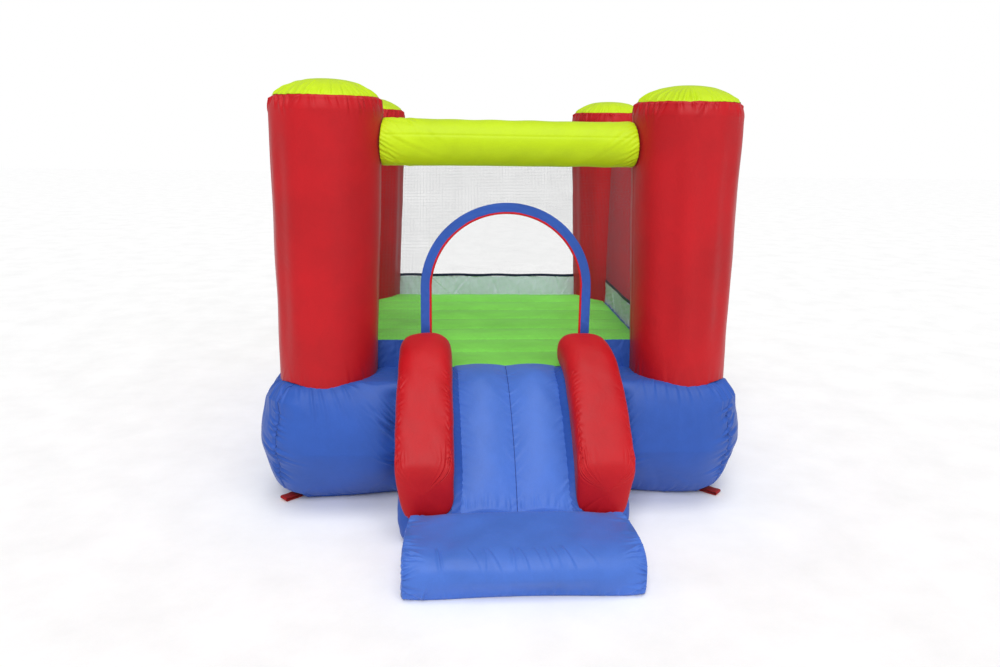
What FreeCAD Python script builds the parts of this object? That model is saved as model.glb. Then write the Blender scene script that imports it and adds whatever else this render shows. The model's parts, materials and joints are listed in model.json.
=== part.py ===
"""Inflatable bounce house: a fabric air-filled base with a bouncing floor, four corner posts with domed
caps, two cross beams, net walls with an arched doorway, and a front slide with a landing pad.

Millimetres, +Z up, the doorway and slide towards -Y. The origin is at the bottom centre of the whole
object's box. Every air chamber is a thin closed skin of sewn fabric panels, as the real one is.
"""

import FreeCAD
import Part

import math
import os

from FreeCAD import Vector

os.makedirs("parts", exist_ok=True)

# Driving dimensions
SKIN = 2.0  # thickness of one sewn fabric panel
BASE_HEIGHT = 560.0
POST_SPACING_X = 1500.0
POST_SPACING_Y = 1640.0
SIDE_OVERHANG = 300.0  # widest part of the base beyond the post centres, left and right
END_OVERHANG = 290.0  # the same, front and rear
TOTAL_HEIGHT = 1746.0

POST_FOOT_RADIUS = 204.0
POST_SHOULDER_RADIUS = 225.0
POST_SEAM_RADIUS = 207.0
SHOULDER_Z = 1622.0
CAP_SEAM_Z = 1676.0
POST_LEAN = 26.0  # how far each post's top stands in towards the middle

BEAM_RADIUS = 92.5
BEAM_Z = 1508.0

WALL_SET_BACK = 30.0  # the front wall stands this far behind the post centres
SIDE_SET_IN = 38.0  # the side walls stand this far inside them
SKIRT_HEIGHT = 122.0
BINDING_HEIGHT = 16.0
BINDING_THICKNESS = 5.0
NET_THICKNESS = 2.0
HEM_HEIGHT = 25.0
SIDE_NET_TOP_Z = 1440.0

ARCH_RADIUS = 362.0
ARCH_BAND = 38.0
ARCH_TOP_Z = 1268.0
ARCH_THICKNESS = 6.0
PIPING_RADIUS = 4.5

SLIDE_REACH = 500.0  # the slide's run in front of the post centres
PAD_LENGTH = 405.0
PAD_HALF_WIDTH = 428.0
PAD_HEIGHT = 165.0
PAD_ROUNDING = 60.0
SLIDE_FOOT_Z = 120.0
BED_THICKNESS = 3.0
BED_HALF_WIDTH = 230.0
RAIL_OUTER_X = 446.0
RISER_TOP = 24.0  # how far the rail's underside stands above the bed at the doorway
RISER_FOOT = 12.0
RAIL_DEPTH_TOP = 136.0
RAIL_DEPTH_FOOT = 194.0

SLEEVE_RADIUS = 75.0  # inside
SLEEVE_LENGTH = 210.0
SLEEVE_X = -480.0
SLEEVE_Z = 250.0
SLEEVE_BEYOND_BASE = 165.0
STRAP_WIDTH = 30.0
STRAP_THICKNESS = 3.0

LOOP_LENGTH = 82.0
LOOP_WIDTH = 45.0
LOOP_HEIGHT = 15.0
LOOP_WEBBING = 3.0
LOOP_GAP = 20.0  # between a loop's root and the base's foot
LOOP_PLAY = 2.5  # between a loop's root and the tab it swings on
LOOP_ANGLE = 42.0  # from the X axis towards the front or rear

ZIP_LENGTH = 320.0
ZIP_X = 360.0
ZIP_TAPE_HEIGHT = 14.0
ZIP_PATCH = 90.0
ZIP_TEETH = 5.0
TOOTH_PITCH = 8.0
TOOTH_WIDTH = 5.0

# Places worked out from them
TOTAL_LENGTH = SLIDE_REACH + PAD_LENGTH + POST_SPACING_Y + END_OVERHANG + SLEEVE_BEYOND_BASE
FRONT_POST_Y = SLIDE_REACH + PAD_LENGTH - TOTAL_LENGTH / 2
REAR_POST_Y = FRONT_POST_Y + POST_SPACING_Y
POST_X = POST_SPACING_X / 2
FRONT_WALL_Y = FRONT_POST_Y + WALL_SET_BACK
REAR_WALL_Y = REAR_POST_Y
SIDE_WALL_X = POST_X - SIDE_SET_IN
SLIDE_TOP_Y = FRONT_WALL_Y - PIPING_RADIUS - 1.0  # where the rails stop in front of the doorway
SKIRT_TOP_Z = BASE_HEIGHT + SKIRT_HEIGHT
NET_FOOT_Z = SKIRT_TOP_Z + BINDING_HEIGHT
ARCH_SPRING_Z = ARCH_TOP_Z - ARCH_RADIUS
SLIDE_FOOT_Y = FRONT_POST_Y - SLIDE_REACH
BASE_REAR_Y = REAR_POST_Y + END_OVERHANG

# How far the base reaches past the post centres at its foot and at its flat top
FOOT_SIDE = 150.0
FOOT_END = 20.0
TOP_INSET = 120.0
FOOT_FULLNESS = 1.6
TOP_FULLNESS = 2.4
BASE_LEVELS = (0, 12, 40, 90, 150, 215, 280, 345, 410, 465, 510, 540, 555, 560)
BASE_CORNER = 165.0
BAFFLES = 6
BAFFLE_HALF_WIDTH = 700.0
VENT_RADIUS = 70.0


def save(name, shape):
    """Writes one node's closed solids to its STEP file."""
    solids = [s for s in shape.Solids if s.Volume > 1.0]
    whole = solids[0] if len(solids) == 1 else Part.makeCompound(solids)
    whole.exportStep(f"parts/{name}.step")


def block(x0, x1, y0, y1, z0, z1):
    """An upright box between two corners."""
    return Part.makeBox(x1 - x0, y1 - y0, z1 - z0, Vector(x0, y0, z0))


def mirrored(shape):
    """The shape on the other side of the YZ plane."""
    return shape.mirror(Vector(0, 0, 0), Vector(1, 0, 0))


def fullness(level, power):
    """How far out the base's side stands, 0 at its edge and 1 at mid height."""
    return (1 - level**power) ** (1 / power)


def reach(z, foot, widest):
    """How far the base stands past the post centres at height z."""
    middle = BASE_HEIGHT / 2
    level = abs(z - middle) / middle
    if z < middle:
        return foot + (widest - foot) * fullness(level, FOOT_FULLNESS)
    return TOP_INSET + (widest - TOP_INSET) * fullness(level, TOP_FULLNESS)


def rounded_outline(half_width, front, rear, corner, z):
    """A rounded rectangle at height z, as one closed wire."""
    edges = []
    diagonal = corner * math.sqrt(0.5)
    before = Vector(half_width, front + corner, z)
    for sx, sy, across in ((1, 1, False), (-1, 1, True), (-1, -1, False), (1, -1, True)):
        x, y = sx * (half_width - corner), (rear - corner if sy > 0 else front + corner)
        on_side, on_end = Vector(x + sx * corner, y, z), Vector(x, y + sy * corner, z)
        first, last = (on_end, on_side) if across else (on_side, on_end)
        edges.append(Part.LineSegment(before, first).toShape())
        edges.append(Part.Arc(first, Vector(x + sx * diagonal, y + sy * diagonal, z), last).toShape())
        before = last
    return Part.Wire(edges)


def base_volume(inset):
    """The whole air cushion of the base, drawn in by inset all round."""
    sections = []
    for z in BASE_LEVELS:
        side = reach(z, FOOT_SIDE, SIDE_OVERHANG) - inset
        end = reach(z, FOOT_END, END_OVERHANG) - inset
        height = inset + z * (BASE_HEIGHT - 2 * inset) / BASE_HEIGHT
        front, rear = FRONT_POST_Y - end, REAR_POST_Y + end
        sections.append(rounded_outline(POST_X + side, front, rear, BASE_CORNER - inset, height))
    return Part.makeLoft(sections, True, True)


def ramp_z(y):
    """Height of the slide's bed at y: level at the doorway and steepest where it meets the landing pad."""
    u = (y - SLIDE_FOOT_Y) / (FRONT_WALL_Y - SLIDE_FOOT_Y)
    return SLIDE_FOOT_Z + (BASE_HEIGHT - SLIDE_FOOT_Z) * math.sin(u * math.pi / 2)


def bed_under(y):
    return ramp_z(y) - BED_THICKNESS


def riser_top(y):
    return ramp_z(y) + between(RISER_FOOT, RISER_TOP, y)


def rail_top(y):
    return riser_top(y) + between(RAIL_DEPTH_FOOT, RAIL_DEPTH_TOP, y)


def between(low, high, y):
    """Goes evenly from low at the slide's foot to high at the doorway."""
    u = (y - SLIDE_FOOT_Y) / (FRONT_WALL_Y - SLIDE_FOOT_Y)
    return low + (high - low) * u


def slide_curve(height):
    """A smooth curve over the slide's run, at height(y), from the doorway to the slide's foot."""
    steps = 10
    ys = [FRONT_WALL_Y + (SLIDE_FOOT_Y - FRONT_WALL_Y) * i / steps for i in range(steps + 1)]
    curve = Part.BSplineCurve()
    curve.interpolate([Vector(0, y, height(y)) for y in ys])
    return curve.toShape()


def slide_slab(x0, x1, low, high):
    """The solid between two heights over the slide's run, from x0 to x1."""
    edges = [slide_curve(high), slide_curve(low)]
    for y in (FRONT_WALL_Y, SLIDE_FOOT_Y):
        edges.append(Part.LineSegment(Vector(0, y, low(y)), Vector(0, y, high(y))).toShape())
    slab = Part.Face(Part.Wire(Part.__sortEdges__(edges))).extrude(Vector(x1 - x0, 0, 0))
    slab.translate(Vector(x0, 0, 0))
    return slab


def post_volume(side, y, inset, foot_z):
    """One post as a solid of revolution, up to its cap seam, leaning in towards the middle."""
    foot = POST_FOOT_RADIUS - inset
    shoulder = POST_SHOULDER_RADIUS - inset
    seam = POST_SEAM_RADIUS - inset
    bend_z = (SHOULDER_Z + CAP_SEAM_Z) / 2
    bend = seam + 0.72 * (shoulder - seam)
    rim = Vector(seam, 0, CAP_SEAM_Z)
    edges = [
        Part.LineSegment(Vector(0, 0, foot_z), Vector(foot, 0, foot_z)).toShape(),
        Part.LineSegment(Vector(foot, 0, foot_z), Vector(shoulder, 0, SHOULDER_Z)).toShape(),
        Part.Arc(Vector(shoulder, 0, SHOULDER_Z), Vector(bend, 0, bend_z), rim).toShape(),
        Part.LineSegment(rim, Vector(0, 0, CAP_SEAM_Z)).toShape(),
        Part.LineSegment(Vector(0, 0, CAP_SEAM_Z), Vector(0, 0, foot_z)).toShape(),
    ]
    body = Part.Face(Part.Wire(edges)).revolve(Vector(0, 0, 0), Vector(0, 0, 1), 360)
    return stand_post(body, side, y)


def dome_volume(side, y, inset):
    """The domed air space under one cap, as a spherical cap on the post's seam circle."""
    radius = POST_SEAM_RADIUS - inset
    rise = TOTAL_HEIGHT - CAP_SEAM_Z - inset
    ball = (radius**2 + rise**2) / (2 * rise)
    half = math.asin(radius / ball) / 2
    centre_z = CAP_SEAM_Z + rise - ball
    middle = Vector(ball * math.sin(half), 0, centre_z + ball * math.cos(half))
    top = Vector(0, 0, CAP_SEAM_Z + rise)
    rim = Vector(radius, 0, CAP_SEAM_Z)
    edges = [
        Part.Arc(top, middle, rim).toShape(),
        Part.LineSegment(rim, Vector(0, 0, CAP_SEAM_Z)).toShape(),
        Part.LineSegment(Vector(0, 0, CAP_SEAM_Z), top).toShape(),
    ]
    body = Part.Face(Part.Wire(edges)).revolve(Vector(0, 0, 0), Vector(0, 0, 1), 360)
    return stand_post(body, side, y)


def stand_post(body, side, y):
    """Leans a part of a post and moves it to its corner; side is -1 for left and 1 for right."""
    angle = math.degrees(math.asin(POST_LEAN / (CAP_SEAM_Z - BASE_HEIGHT)))
    body.rotate(Vector(0, 0, BASE_HEIGHT), Vector(0, 1, 0), -side * angle)
    body.translate(Vector(side * POST_X, y, 0))
    return body


def beam_volume(y, inset):
    """One cross beam, as a cylinder that runs into both posts."""
    start = Vector(-POST_X, y, BEAM_Z)
    return Part.makeCylinder(BEAM_RADIUS - inset, POST_SPACING_X, start, Vector(1, 0, 0))


def arch_region(radius, thickness):
    """The doorway's outline, legs and half circle, as a slab across the front wall."""
    front, rear = FRONT_WALL_Y - thickness / 2, FRONT_WALL_Y + thickness / 2
    legs = block(-radius, radius, front, rear, BASE_HEIGHT, ARCH_SPRING_Z)
    disc = Part.makeCylinder(radius, thickness, Vector(0, front, ARCH_SPRING_Z), Vector(0, 1, 0))
    head = disc.common(block(-radius, radius, front, rear, ARCH_SPRING_Z, ARCH_TOP_Z + 1))
    return legs.fuse(head).removeSplitter()


def edge_ring():
    """The flat ring of binding round the base's foot, still filled in the middle."""
    z = BASE_LEVELS[1]
    side, end = reach(z, FOOT_SIDE, SIDE_OVERHANG), reach(z, FOOT_END, END_OVERHANG)
    outline = rounded_outline(POST_X + side, FRONT_POST_Y - end, REAR_POST_Y + end, BASE_CORNER, 0)
    return Part.Face(outline).extrude(Vector(0, 0, z))


def end_zone(wall_y, seam_y, far_y):
    """The region whose share of the base's skin is one end panel, cut on slanting seams at its corners."""
    seam_x = POST_X + 200
    right = [(SIDE_WALL_X, wall_y), (seam_x, seam_y), (seam_x, far_y)]
    left = [(-x, y) for x, y in reversed(right)]
    corners = [Vector(x, y, 0) for x, y in right + left + right[:1]]
    return Part.Face(Part.makePolygon(corners)).extrude(Vector(0, 0, BASE_HEIGHT + 10))


def make_base():
    """Bottom sheet, wall panels, bouncing floor, inner baffles and the edge binding."""
    outer, inner = base_volume(0), base_volume(SKIN)
    skin = outer.cut(inner)
    far = 3000.0
    notch = slide_slab(-RAIL_OUTER_X, RAIL_OUTER_X, bed_under, lambda y: BASE_HEIGHT + 90)
    sheet = skin.common(block(-far, far, -far, far, -1, SKIN))
    floor = block(-SIDE_WALL_X, SIDE_WALL_X, FRONT_WALL_Y, REAR_WALL_Y, BASE_HEIGHT - SKIN, BASE_HEIGHT)
    walls = skin.cut([block(-far, far, -far, far, -1, SKIN), floor, notch])
    front_zone = end_zone(FRONT_WALL_Y, FRONT_POST_Y - 100, -far)
    rear_zone = end_zone(REAR_WALL_Y, REAR_POST_Y + 100, far)
    sides = walls.cut([front_zone, rear_zone])
    save("base_bottom_sheet", sheet)
    save("bounce_floor", floor)
    save("base_front_panel", walls.common(front_zone))
    save("base_rear_panel", walls.common(rear_zone).cut(sleeve_cylinder(SLEEVE_RADIUS + SKIN)))
    save("base_side_panel_left", sides.common(block(-far, 0, -far, far, -1, far)))
    save("base_side_panel_right", sides.common(block(0, far, -far, far, -1, far)))
    ring = edge_ring()
    slide_gap = block(-RAIL_OUTER_X, RAIL_OUTER_X, -far, FRONT_POST_Y + 100, -1, BASE_LEVELS[1] + 1)
    save("base_edge_binding", ring.cut([outer, slide_gap]))
    make_baffles()
    return outer


def make_baffles():
    """Upright fabric webs across the base, with air vents, that hold the floor down."""
    pitch = (REAR_WALL_Y - FRONT_WALL_Y) / (BAFFLES + 1)
    half, along_y = BAFFLE_HALF_WIDTH, Vector(0, 1, 0)
    for i in range(BAFFLES):
        y = FRONT_WALL_Y + pitch * (i + 1)
        web = block(-half, half, y - SKIN / 2, y + SKIN / 2, SKIN, BASE_HEIGHT - SKIN)
        vents = [
            Part.makeCylinder(VENT_RADIUS, 4 * SKIN, Vector(x, y - 2 * SKIN, BASE_HEIGHT / 2), along_y)
            for x in (-half / 2, 0, half / 2)
        ]
        save(f"floor_baffle_{i + 1}", web.cut(vents))


def make_posts(base):
    """Four post sleeves and their caps. Returns the posts' outer solids, for cutting what meets them."""
    solids = []
    for end, y in (("front", FRONT_POST_Y), ("rear", REAR_POST_Y)):
        for hand, side in (("left", -1), ("right", 1)):
            outer = post_volume(side, y, 0, BASE_HEIGHT - 60)
            inner = post_volume(side, y, SKIN, BASE_HEIGHT - 70)
            throat = Part.makeCylinder(POST_SEAM_RADIUS - SKIN, 40, Vector(0, 0, CAP_SEAM_Z - 20))
            sleeve = outer.cut([inner, stand_post(throat, side, y), base])
            dome = dome_volume(side, y, 0).cut(dome_volume(side, y, SKIN))
            save(f"post_{end}_{hand}", sleeve)
            save(f"post_cap_{end}_{hand}", dome)
            solids.append(outer)
    return solids


def make_beams(posts):
    """The front and rear cross beams, ending on the posts."""
    outers = []
    for end, y in (("front", FRONT_POST_Y), ("rear", REAR_POST_Y)):
        outer = beam_volume(y, 0)
        tube = outer.cut([beam_volume(y, SKIN), *posts])
        save(f"cross_beam_{end}", tube)
        outers.append(outer)
    return outers


def make_walls(base, posts, beams):
    """Skirts, their bindings, nets, net hems and the doorway arch."""
    half, tape = NET_THICKNESS / 2, BINDING_THICKNESS / 2
    doorway = arch_region(ARCH_RADIUS, 40)

    def across(y, thick, z0, z1):
        return block(-POST_X, POST_X, y - thick, y + thick, z0, z1).cut([*posts, base])

    def along(side, thick, z0, z1):
        x = side * SIDE_WALL_X
        return block(x - thick, x + thick, FRONT_POST_Y, REAR_POST_Y, z0, z1).cut([*posts, base])

    front_skirts = across(FRONT_WALL_Y, half, BASE_HEIGHT, SKIRT_TOP_Z).cut(doorway)
    save("skirt_front_left", front_skirts.common(block(-POST_X, 0, -3000, 3000, 0, 3000)))
    save("skirt_front_right", front_skirts.common(block(0, POST_X, -3000, 3000, 0, 3000)))
    front_net = across(FRONT_WALL_Y, half, SKIRT_TOP_Z, BEAM_Z).cut([doorway, beams[0]])
    save("net_front", front_net)
    save("skirt_rear", across(REAR_WALL_Y, half, BASE_HEIGHT, SKIRT_TOP_Z))
    save("skirt_binding_rear", across(REAR_WALL_Y, tape, SKIRT_TOP_Z, NET_FOOT_Z))
    save("net_rear", across(REAR_WALL_Y, half, NET_FOOT_Z, BEAM_Z).cut(beams[1]))
    for hand, side in (("left", -1), ("right", 1)):
        save(f"skirt_{hand}", along(side, half, BASE_HEIGHT, SKIRT_TOP_Z))
        save(f"skirt_binding_{hand}", along(side, tape, SKIRT_TOP_Z, NET_FOOT_Z))
        save(f"net_{hand}", along(side, half, NET_FOOT_Z, SIDE_NET_TOP_Z))
        save(f"net_hem_{hand}", along(side, tape, SIDE_NET_TOP_Z, SIDE_NET_TOP_Z + HEM_HEIGHT))
    inside = arch_region(ARCH_RADIUS - ARCH_BAND, 3 * ARCH_THICKNESS)
    save("doorway_arch", arch_region(ARCH_RADIUS, ARCH_THICKNESS).cut(inside))
    make_piping()


def make_piping():
    """The round piping along the arch's inner edge."""
    radius = ARCH_RADIUS - ARCH_BAND - PIPING_RADIUS
    y = FRONT_WALL_Y
    foot_left, foot_right = Vector(-radius, y, BASE_HEIGHT), Vector(radius, y, BASE_HEIGHT)
    spring_left, spring_right = Vector(-radius, y, ARCH_SPRING_Z), Vector(radius, y, ARCH_SPRING_Z)
    path = Part.Wire(
        [
            Part.LineSegment(foot_left, spring_left).toShape(),
            Part.Arc(spring_left, Vector(0, y, ARCH_SPRING_Z + radius), spring_right).toShape(),
            Part.LineSegment(spring_right, foot_right).toShape(),
        ]
    )
    section = Part.Wire(Part.makeCircle(PIPING_RADIUS, foot_left, Vector(0, 0, 1)))
    save("doorway_piping", path.makePipeShell([section], True, False))


def make_slide(base):
    """Bed, hollow body, risers, side rails, inner web and landing pad."""
    bed = slide_slab(-BED_HALF_WIDTH, BED_HALF_WIDTH, bed_under, ramp_z)
    save("slide_bed", bed)
    edge = RAIL_OUTER_X
    front_edge = block(-edge, edge, SLIDE_FOOT_Y - 1, SLIDE_FOOT_Y + SKIN, -1, BASE_HEIGHT)
    body = slide_slab(-edge, edge, lambda y: 0.0, bed_under)
    hollow = slide_slab(SKIN - edge, edge - SKIN, lambda y: SKIN, lambda y: bed_under(y) - SKIN)
    save("slide_body", body.cut([hollow.cut(front_edge), base]))
    web = slide_slab(-SKIN / 2, SKIN / 2, lambda y: SKIN, lambda y: bed_under(y) - SKIN)
    save("slide_web", web.cut([front_edge, base]))
    inner = BED_HALF_WIDTH
    doorway_end = block(0, edge, SLIDE_TOP_Y, FRONT_WALL_Y + 1, -1, BASE_HEIGHT + 300)
    doorway_skin = block(0, edge, SLIDE_TOP_Y - SKIN, FRONT_WALL_Y + 1, -1, BASE_HEIGHT + 300)
    riser = slide_slab(inner, edge, bed_under, riser_top).cut(doorway_end)
    rail = slide_slab(inner, edge, riser_top, rail_top)
    rail_hollow = slide_slab(
        inner + SKIN, edge - SKIN, lambda y: riser_top(y) + SKIN, lambda y: rail_top(y) - SKIN
    ).cut([front_edge, doorway_skin])
    rail = rail.cut([rail_hollow, doorway_end])
    save("slide_riser_right", riser)
    save("slide_rail_right", rail)
    save("slide_riser_left", mirrored(riser))
    save("slide_rail_left", mirrored(rail))
    make_pad()


def make_pad():
    """The landing cushion at the slide's foot, a hollow rounded box."""

    def cushion(inset):
        box = block(
            inset - PAD_HALF_WIDTH,
            PAD_HALF_WIDTH - inset,
            SLIDE_FOOT_Y - PAD_LENGTH + inset,
            SLIDE_FOOT_Y - inset,
            inset,
            PAD_HEIGHT - inset,
        )
        return box.makeFillet(PAD_ROUNDING - inset, box.Edges)

    save("landing_pad", cushion(0).cut(cushion(SKIN)))


def sleeve_cylinder(radius):
    """A cylinder on the inlet sleeve's axis over its whole length."""
    start = Vector(SLEEVE_X, BASE_REAR_Y + SLEEVE_BEYOND_BASE - SLEEVE_LENGTH, SLEEVE_Z)
    return Part.makeCylinder(radius, SLEEVE_LENGTH, start, Vector(0, 1, 0))


def make_inlet():
    """The air inlet sleeve through the rear panel and the strap that closes it on a blower's nozzle."""
    save("inlet_sleeve", sleeve_cylinder(SLEEVE_RADIUS + SKIN).cut(sleeve_cylinder(SLEEVE_RADIUS)))
    y = BASE_REAR_Y + SLEEVE_BEYOND_BASE - 70
    radius = SLEEVE_RADIUS + SKIN
    centre = Vector(SLEEVE_X, y, SLEEVE_Z)
    disc = Part.makeCylinder(radius + STRAP_THICKNESS, STRAP_WIDTH, centre, Vector(0, 1, 0))
    ring = disc.cut(Part.makeCylinder(radius, STRAP_WIDTH, centre, Vector(0, 1, 0)))
    over = SLEEVE_Z + radius
    buckle = block(SLEEVE_X - 14, SLEEVE_X + 14, y - 4, y + STRAP_WIDTH + 4, over, over + 12).cut(disc)
    save("inlet_strap", ring)
    save("inlet_strap_buckle", buckle)


def make_zip(base):
    """The deflation zip on the rear panel: patch, tapes, teeth, slider and pull tab."""
    mid_z = BASE_HEIGHT / 2
    x0, x1 = ZIP_X - ZIP_LENGTH / 2, ZIP_X + ZIP_LENGTH / 2
    face_y = BASE_REAR_Y + 4
    low, high = mid_z - ZIP_PATCH / 2, mid_z + ZIP_PATCH / 2
    save("zip_patch", block(x0 - 25, x1 + 25, BASE_REAR_Y - 30, face_y, low, high).cut(base))
    gap = ZIP_TEETH / 2
    upper = block(x0, x1, face_y, face_y + 1.5, mid_z + gap, mid_z + gap + ZIP_TAPE_HEIGHT)
    lower = block(x0, x1, face_y, face_y + 1.5, mid_z - gap - ZIP_TAPE_HEIGHT, mid_z - gap)
    save("zip_tapes", Part.makeCompound([upper, lower]))
    tooth = block(x0, x0 + TOOTH_WIDTH, face_y, face_y + 2, mid_z - gap, mid_z + gap)
    count = int(ZIP_LENGTH / TOOTH_PITCH)
    row = [tooth.translated(Vector(TOOTH_PITCH * i, 0, 0)) for i in range(count)]
    save("zip_teeth", Part.makeCompound(row))
    sx = x0 + 22
    body = block(sx - 9, sx + 9, face_y + 2.5, face_y + 7, mid_z - 7, mid_z + 7)
    body = body.makeFillet(1.5, body.Edges)
    bridge = block(sx - 3, sx + 3, face_y + 6.5, face_y + 13, mid_z - 5.5, mid_z + 5.5)
    eye = Part.makeCylinder(2.2, 10, Vector(sx - 5, face_y + 9.5, mid_z), Vector(1, 0, 0))
    save("zip_slider", body.fuse(bridge.cut(eye)).removeSplitter())
    pin = Part.makeCylinder(1.6, 8, Vector(sx - 4, face_y + 9.5, mid_z), Vector(1, 0, 0))
    near, out = face_y + 8.3, face_y + 10.7
    arms = [block(x - 0.9, x + 0.9, near, out, mid_z - 14, mid_z + 1.5) for x in (sx - 4.5, sx + 4.5)]
    tab = block(sx - 5.4, sx + 5.4, near, out, mid_z - 45, mid_z - 12)
    save("zip_pull_tab", pin.fuse([*arms, tab]).removeSplitter())


def make_loops(base):
    """Four flat webbing loops lying out from the base's foot corners, each swinging on its root seam."""
    edge_z = BASE_LEVELS[1]
    corner_cut = BASE_CORNER * (1 - math.sqrt(0.5))
    root_x = POST_X + reach(edge_z, FOOT_SIDE, SIDE_OVERHANG) - corner_cut
    root_end = reach(edge_z, FOOT_END, END_OVERHANG) - corner_cut
    r = LOOP_HEIGHT / 2
    hollow_r = r - LOOP_WEBBING
    width = Vector(0, 1, 0)
    tip = LOOP_GAP + LOOP_LENGTH - r
    half = LOOP_WIDTH / 2
    tip_at = Vector(tip, -half, 1 + r)
    outer = block(LOOP_GAP, tip, -half, half, 1, 1 + LOOP_HEIGHT).fuse(
        Part.makeCylinder(r, LOOP_WIDTH, tip_at, width)
    )
    low, high = 1 + LOOP_WEBBING, 1 + LOOP_HEIGHT - LOOP_WEBBING
    hole = block(LOOP_GAP + LOOP_WEBBING, tip, -half, half, low, high).fuse(
        Part.makeCylinder(hollow_r, LOOP_WIDTH, tip_at, width)
    )
    loop = outer.cut(hole).removeSplitter()
    tab = block(-LOOP_GAP, LOOP_GAP - LOOP_PLAY, -half, half, 1, 1 + LOOP_WEBBING)
    tabs = []
    for end, y, sign in (("front", FRONT_POST_Y - root_end, -1), ("rear", REAR_POST_Y + root_end, 1)):
        for hand, side in (("left", -1), ("right", 1)):
            angle = LOOP_ANGLE if side > 0 else 180 - LOOP_ANGLE
            placed = []
            for piece in (loop.copy(), tab.copy()):
                piece.rotate(Vector(0, 0, 0), Vector(0, 0, 1), sign * angle)
                piece.translate(Vector(side * root_x, y, 0))
                placed.append(piece)
            save(f"anchor_loop_{end}_{hand}", placed[0])
            tabs.append(placed[1].cut([base, edge_ring()]))
    save("anchor_tabs", Part.makeCompound(tabs))


def main():
    base = make_base()
    posts = make_posts(base)
    beams = make_beams(posts)
    make_walls(base, posts, beams)
    make_slide(base)
    make_inlet()
    make_zip(base)
    make_loops(base)


main()
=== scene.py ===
import json
import math

import bpy
import numpy as np
from mathutils import Matrix, Vector


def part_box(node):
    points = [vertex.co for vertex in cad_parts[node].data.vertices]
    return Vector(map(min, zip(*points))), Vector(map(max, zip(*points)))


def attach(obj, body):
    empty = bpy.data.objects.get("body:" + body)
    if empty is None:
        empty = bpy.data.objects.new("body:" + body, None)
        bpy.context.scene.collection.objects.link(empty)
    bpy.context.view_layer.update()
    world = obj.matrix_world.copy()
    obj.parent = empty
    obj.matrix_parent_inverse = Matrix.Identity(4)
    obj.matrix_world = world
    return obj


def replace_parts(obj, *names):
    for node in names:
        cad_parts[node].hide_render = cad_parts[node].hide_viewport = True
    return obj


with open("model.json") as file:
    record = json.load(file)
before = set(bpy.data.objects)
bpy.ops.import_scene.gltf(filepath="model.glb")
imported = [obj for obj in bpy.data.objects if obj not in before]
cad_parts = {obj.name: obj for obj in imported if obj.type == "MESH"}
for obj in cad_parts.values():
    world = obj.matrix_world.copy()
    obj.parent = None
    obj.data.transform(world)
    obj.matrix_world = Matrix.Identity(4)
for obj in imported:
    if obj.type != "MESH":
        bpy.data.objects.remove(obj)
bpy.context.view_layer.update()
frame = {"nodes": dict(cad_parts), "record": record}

HOUSE = "house"
UP = np.array([0.0, 0.0, 1.0])

# Places read from the frame
FLOOR_LOW, FLOOR_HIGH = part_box("bounce_floor")
FLOOR_Z = FLOOR_HIGH.z
FRONT_WALL, REAR_WALL = FLOOR_LOW.y, FLOOR_HIGH.y
SIDE_WALL = FLOOR_HIGH.x
CAP_LOW, CAP_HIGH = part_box("post_cap_front_right")
FRONT_POST = (CAP_LOW.y + CAP_HIGH.y) / 2
REAR_POST = sum(c.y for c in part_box("post_cap_rear_right")) / 2
CAP_X = (CAP_LOW.x + CAP_HIGH.x) / 2
TOP_Z = CAP_HIGH.z
BEAM_LOW, BEAM_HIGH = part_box("cross_beam_front")
BEAM_Z = (BEAM_LOW.z + BEAM_HIGH.z) / 2
BEAM_R = (BEAM_HIGH.z - BEAM_LOW.z) / 2
ARCH_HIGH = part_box("doorway_arch")[1]
ARCH_R = ARCH_HIGH.x
ARCH_SPRING = ARCH_HIGH.z - ARCH_R
SKIRT_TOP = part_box("skirt_left")[1].z
BINDING_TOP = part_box("skirt_binding_left")[1].z
NET_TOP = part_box("net_left")[1].z
BED_LOW, BED_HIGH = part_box("slide_bed")
BED_HALF = BED_HIGH.x
SLIDE_FOOT = BED_LOW.y
RAIL_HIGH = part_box("slide_rail_right")[1]
PAD_LOW, PAD_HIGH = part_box("landing_pad")
SLEEVE_LOW, SLEEVE_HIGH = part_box("inlet_sleeve")

# Proportions that the boxes don't give
POST_LEAN = 0.026
POST_X = CAP_X + POST_LEAN
FOOT_R, SHOULDER_R, SEAM_R = 0.204, 0.225, 0.207
SHOULDER_Z, SEAM_Z = 1.622, 1.676
SIDE_FOOT, SIDE_WIDE, END_FOOT, END_WIDE = 0.150, 0.292, 0.055, 0.275
SIDE_TOP, END_TOP = 0.140, 0.165
BED_FOOT_Z = 0.120
SEAM_ANGLE = 40.0  # where the base's corner seams run, in degrees round each corner
TOP_RINGS = 25  # rings of the base's flat top
MID_ROW = 100  # a row of the base near its widest height
SKIRT_CLOTH = 0.0012
ARCH_BAND, PIPING_IN, HOLE_IN = 0.038, 0.041, 0.012
BED_SIDE, SLIDE_RUN = 0.218, 0.66  # the bed's half width, and its length on the slope
RAIL_BEND = 0.13  # turns an angle round a rail into a length
LOOP_LENGTH, LOOP_HALF, LOOP_BEND, LOOP_CLOTH = 0.082, 0.0225, 0.0075, 0.0026
POST_GIRTH, BEAM_GIRTH = 2 * math.pi * SHOULDER_R, 2 * math.pi * BEAM_R
CAMERA_X, CAMERA_BACK, CAMERA_Z, CAMERA_LENS = -0.2475, 3.311, 1.536, 28.8


# ---------------------------------------------------------------- shapes

def ramp(a, b, x):
    """0 below a, 1 above b, smooth between."""
    t = np.clip((x - a) / (b - a), 0.0, 1.0)
    return t * t * (3 - 2 * t)


def mix(a, b, t):
    return a + (b - a) * t


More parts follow.
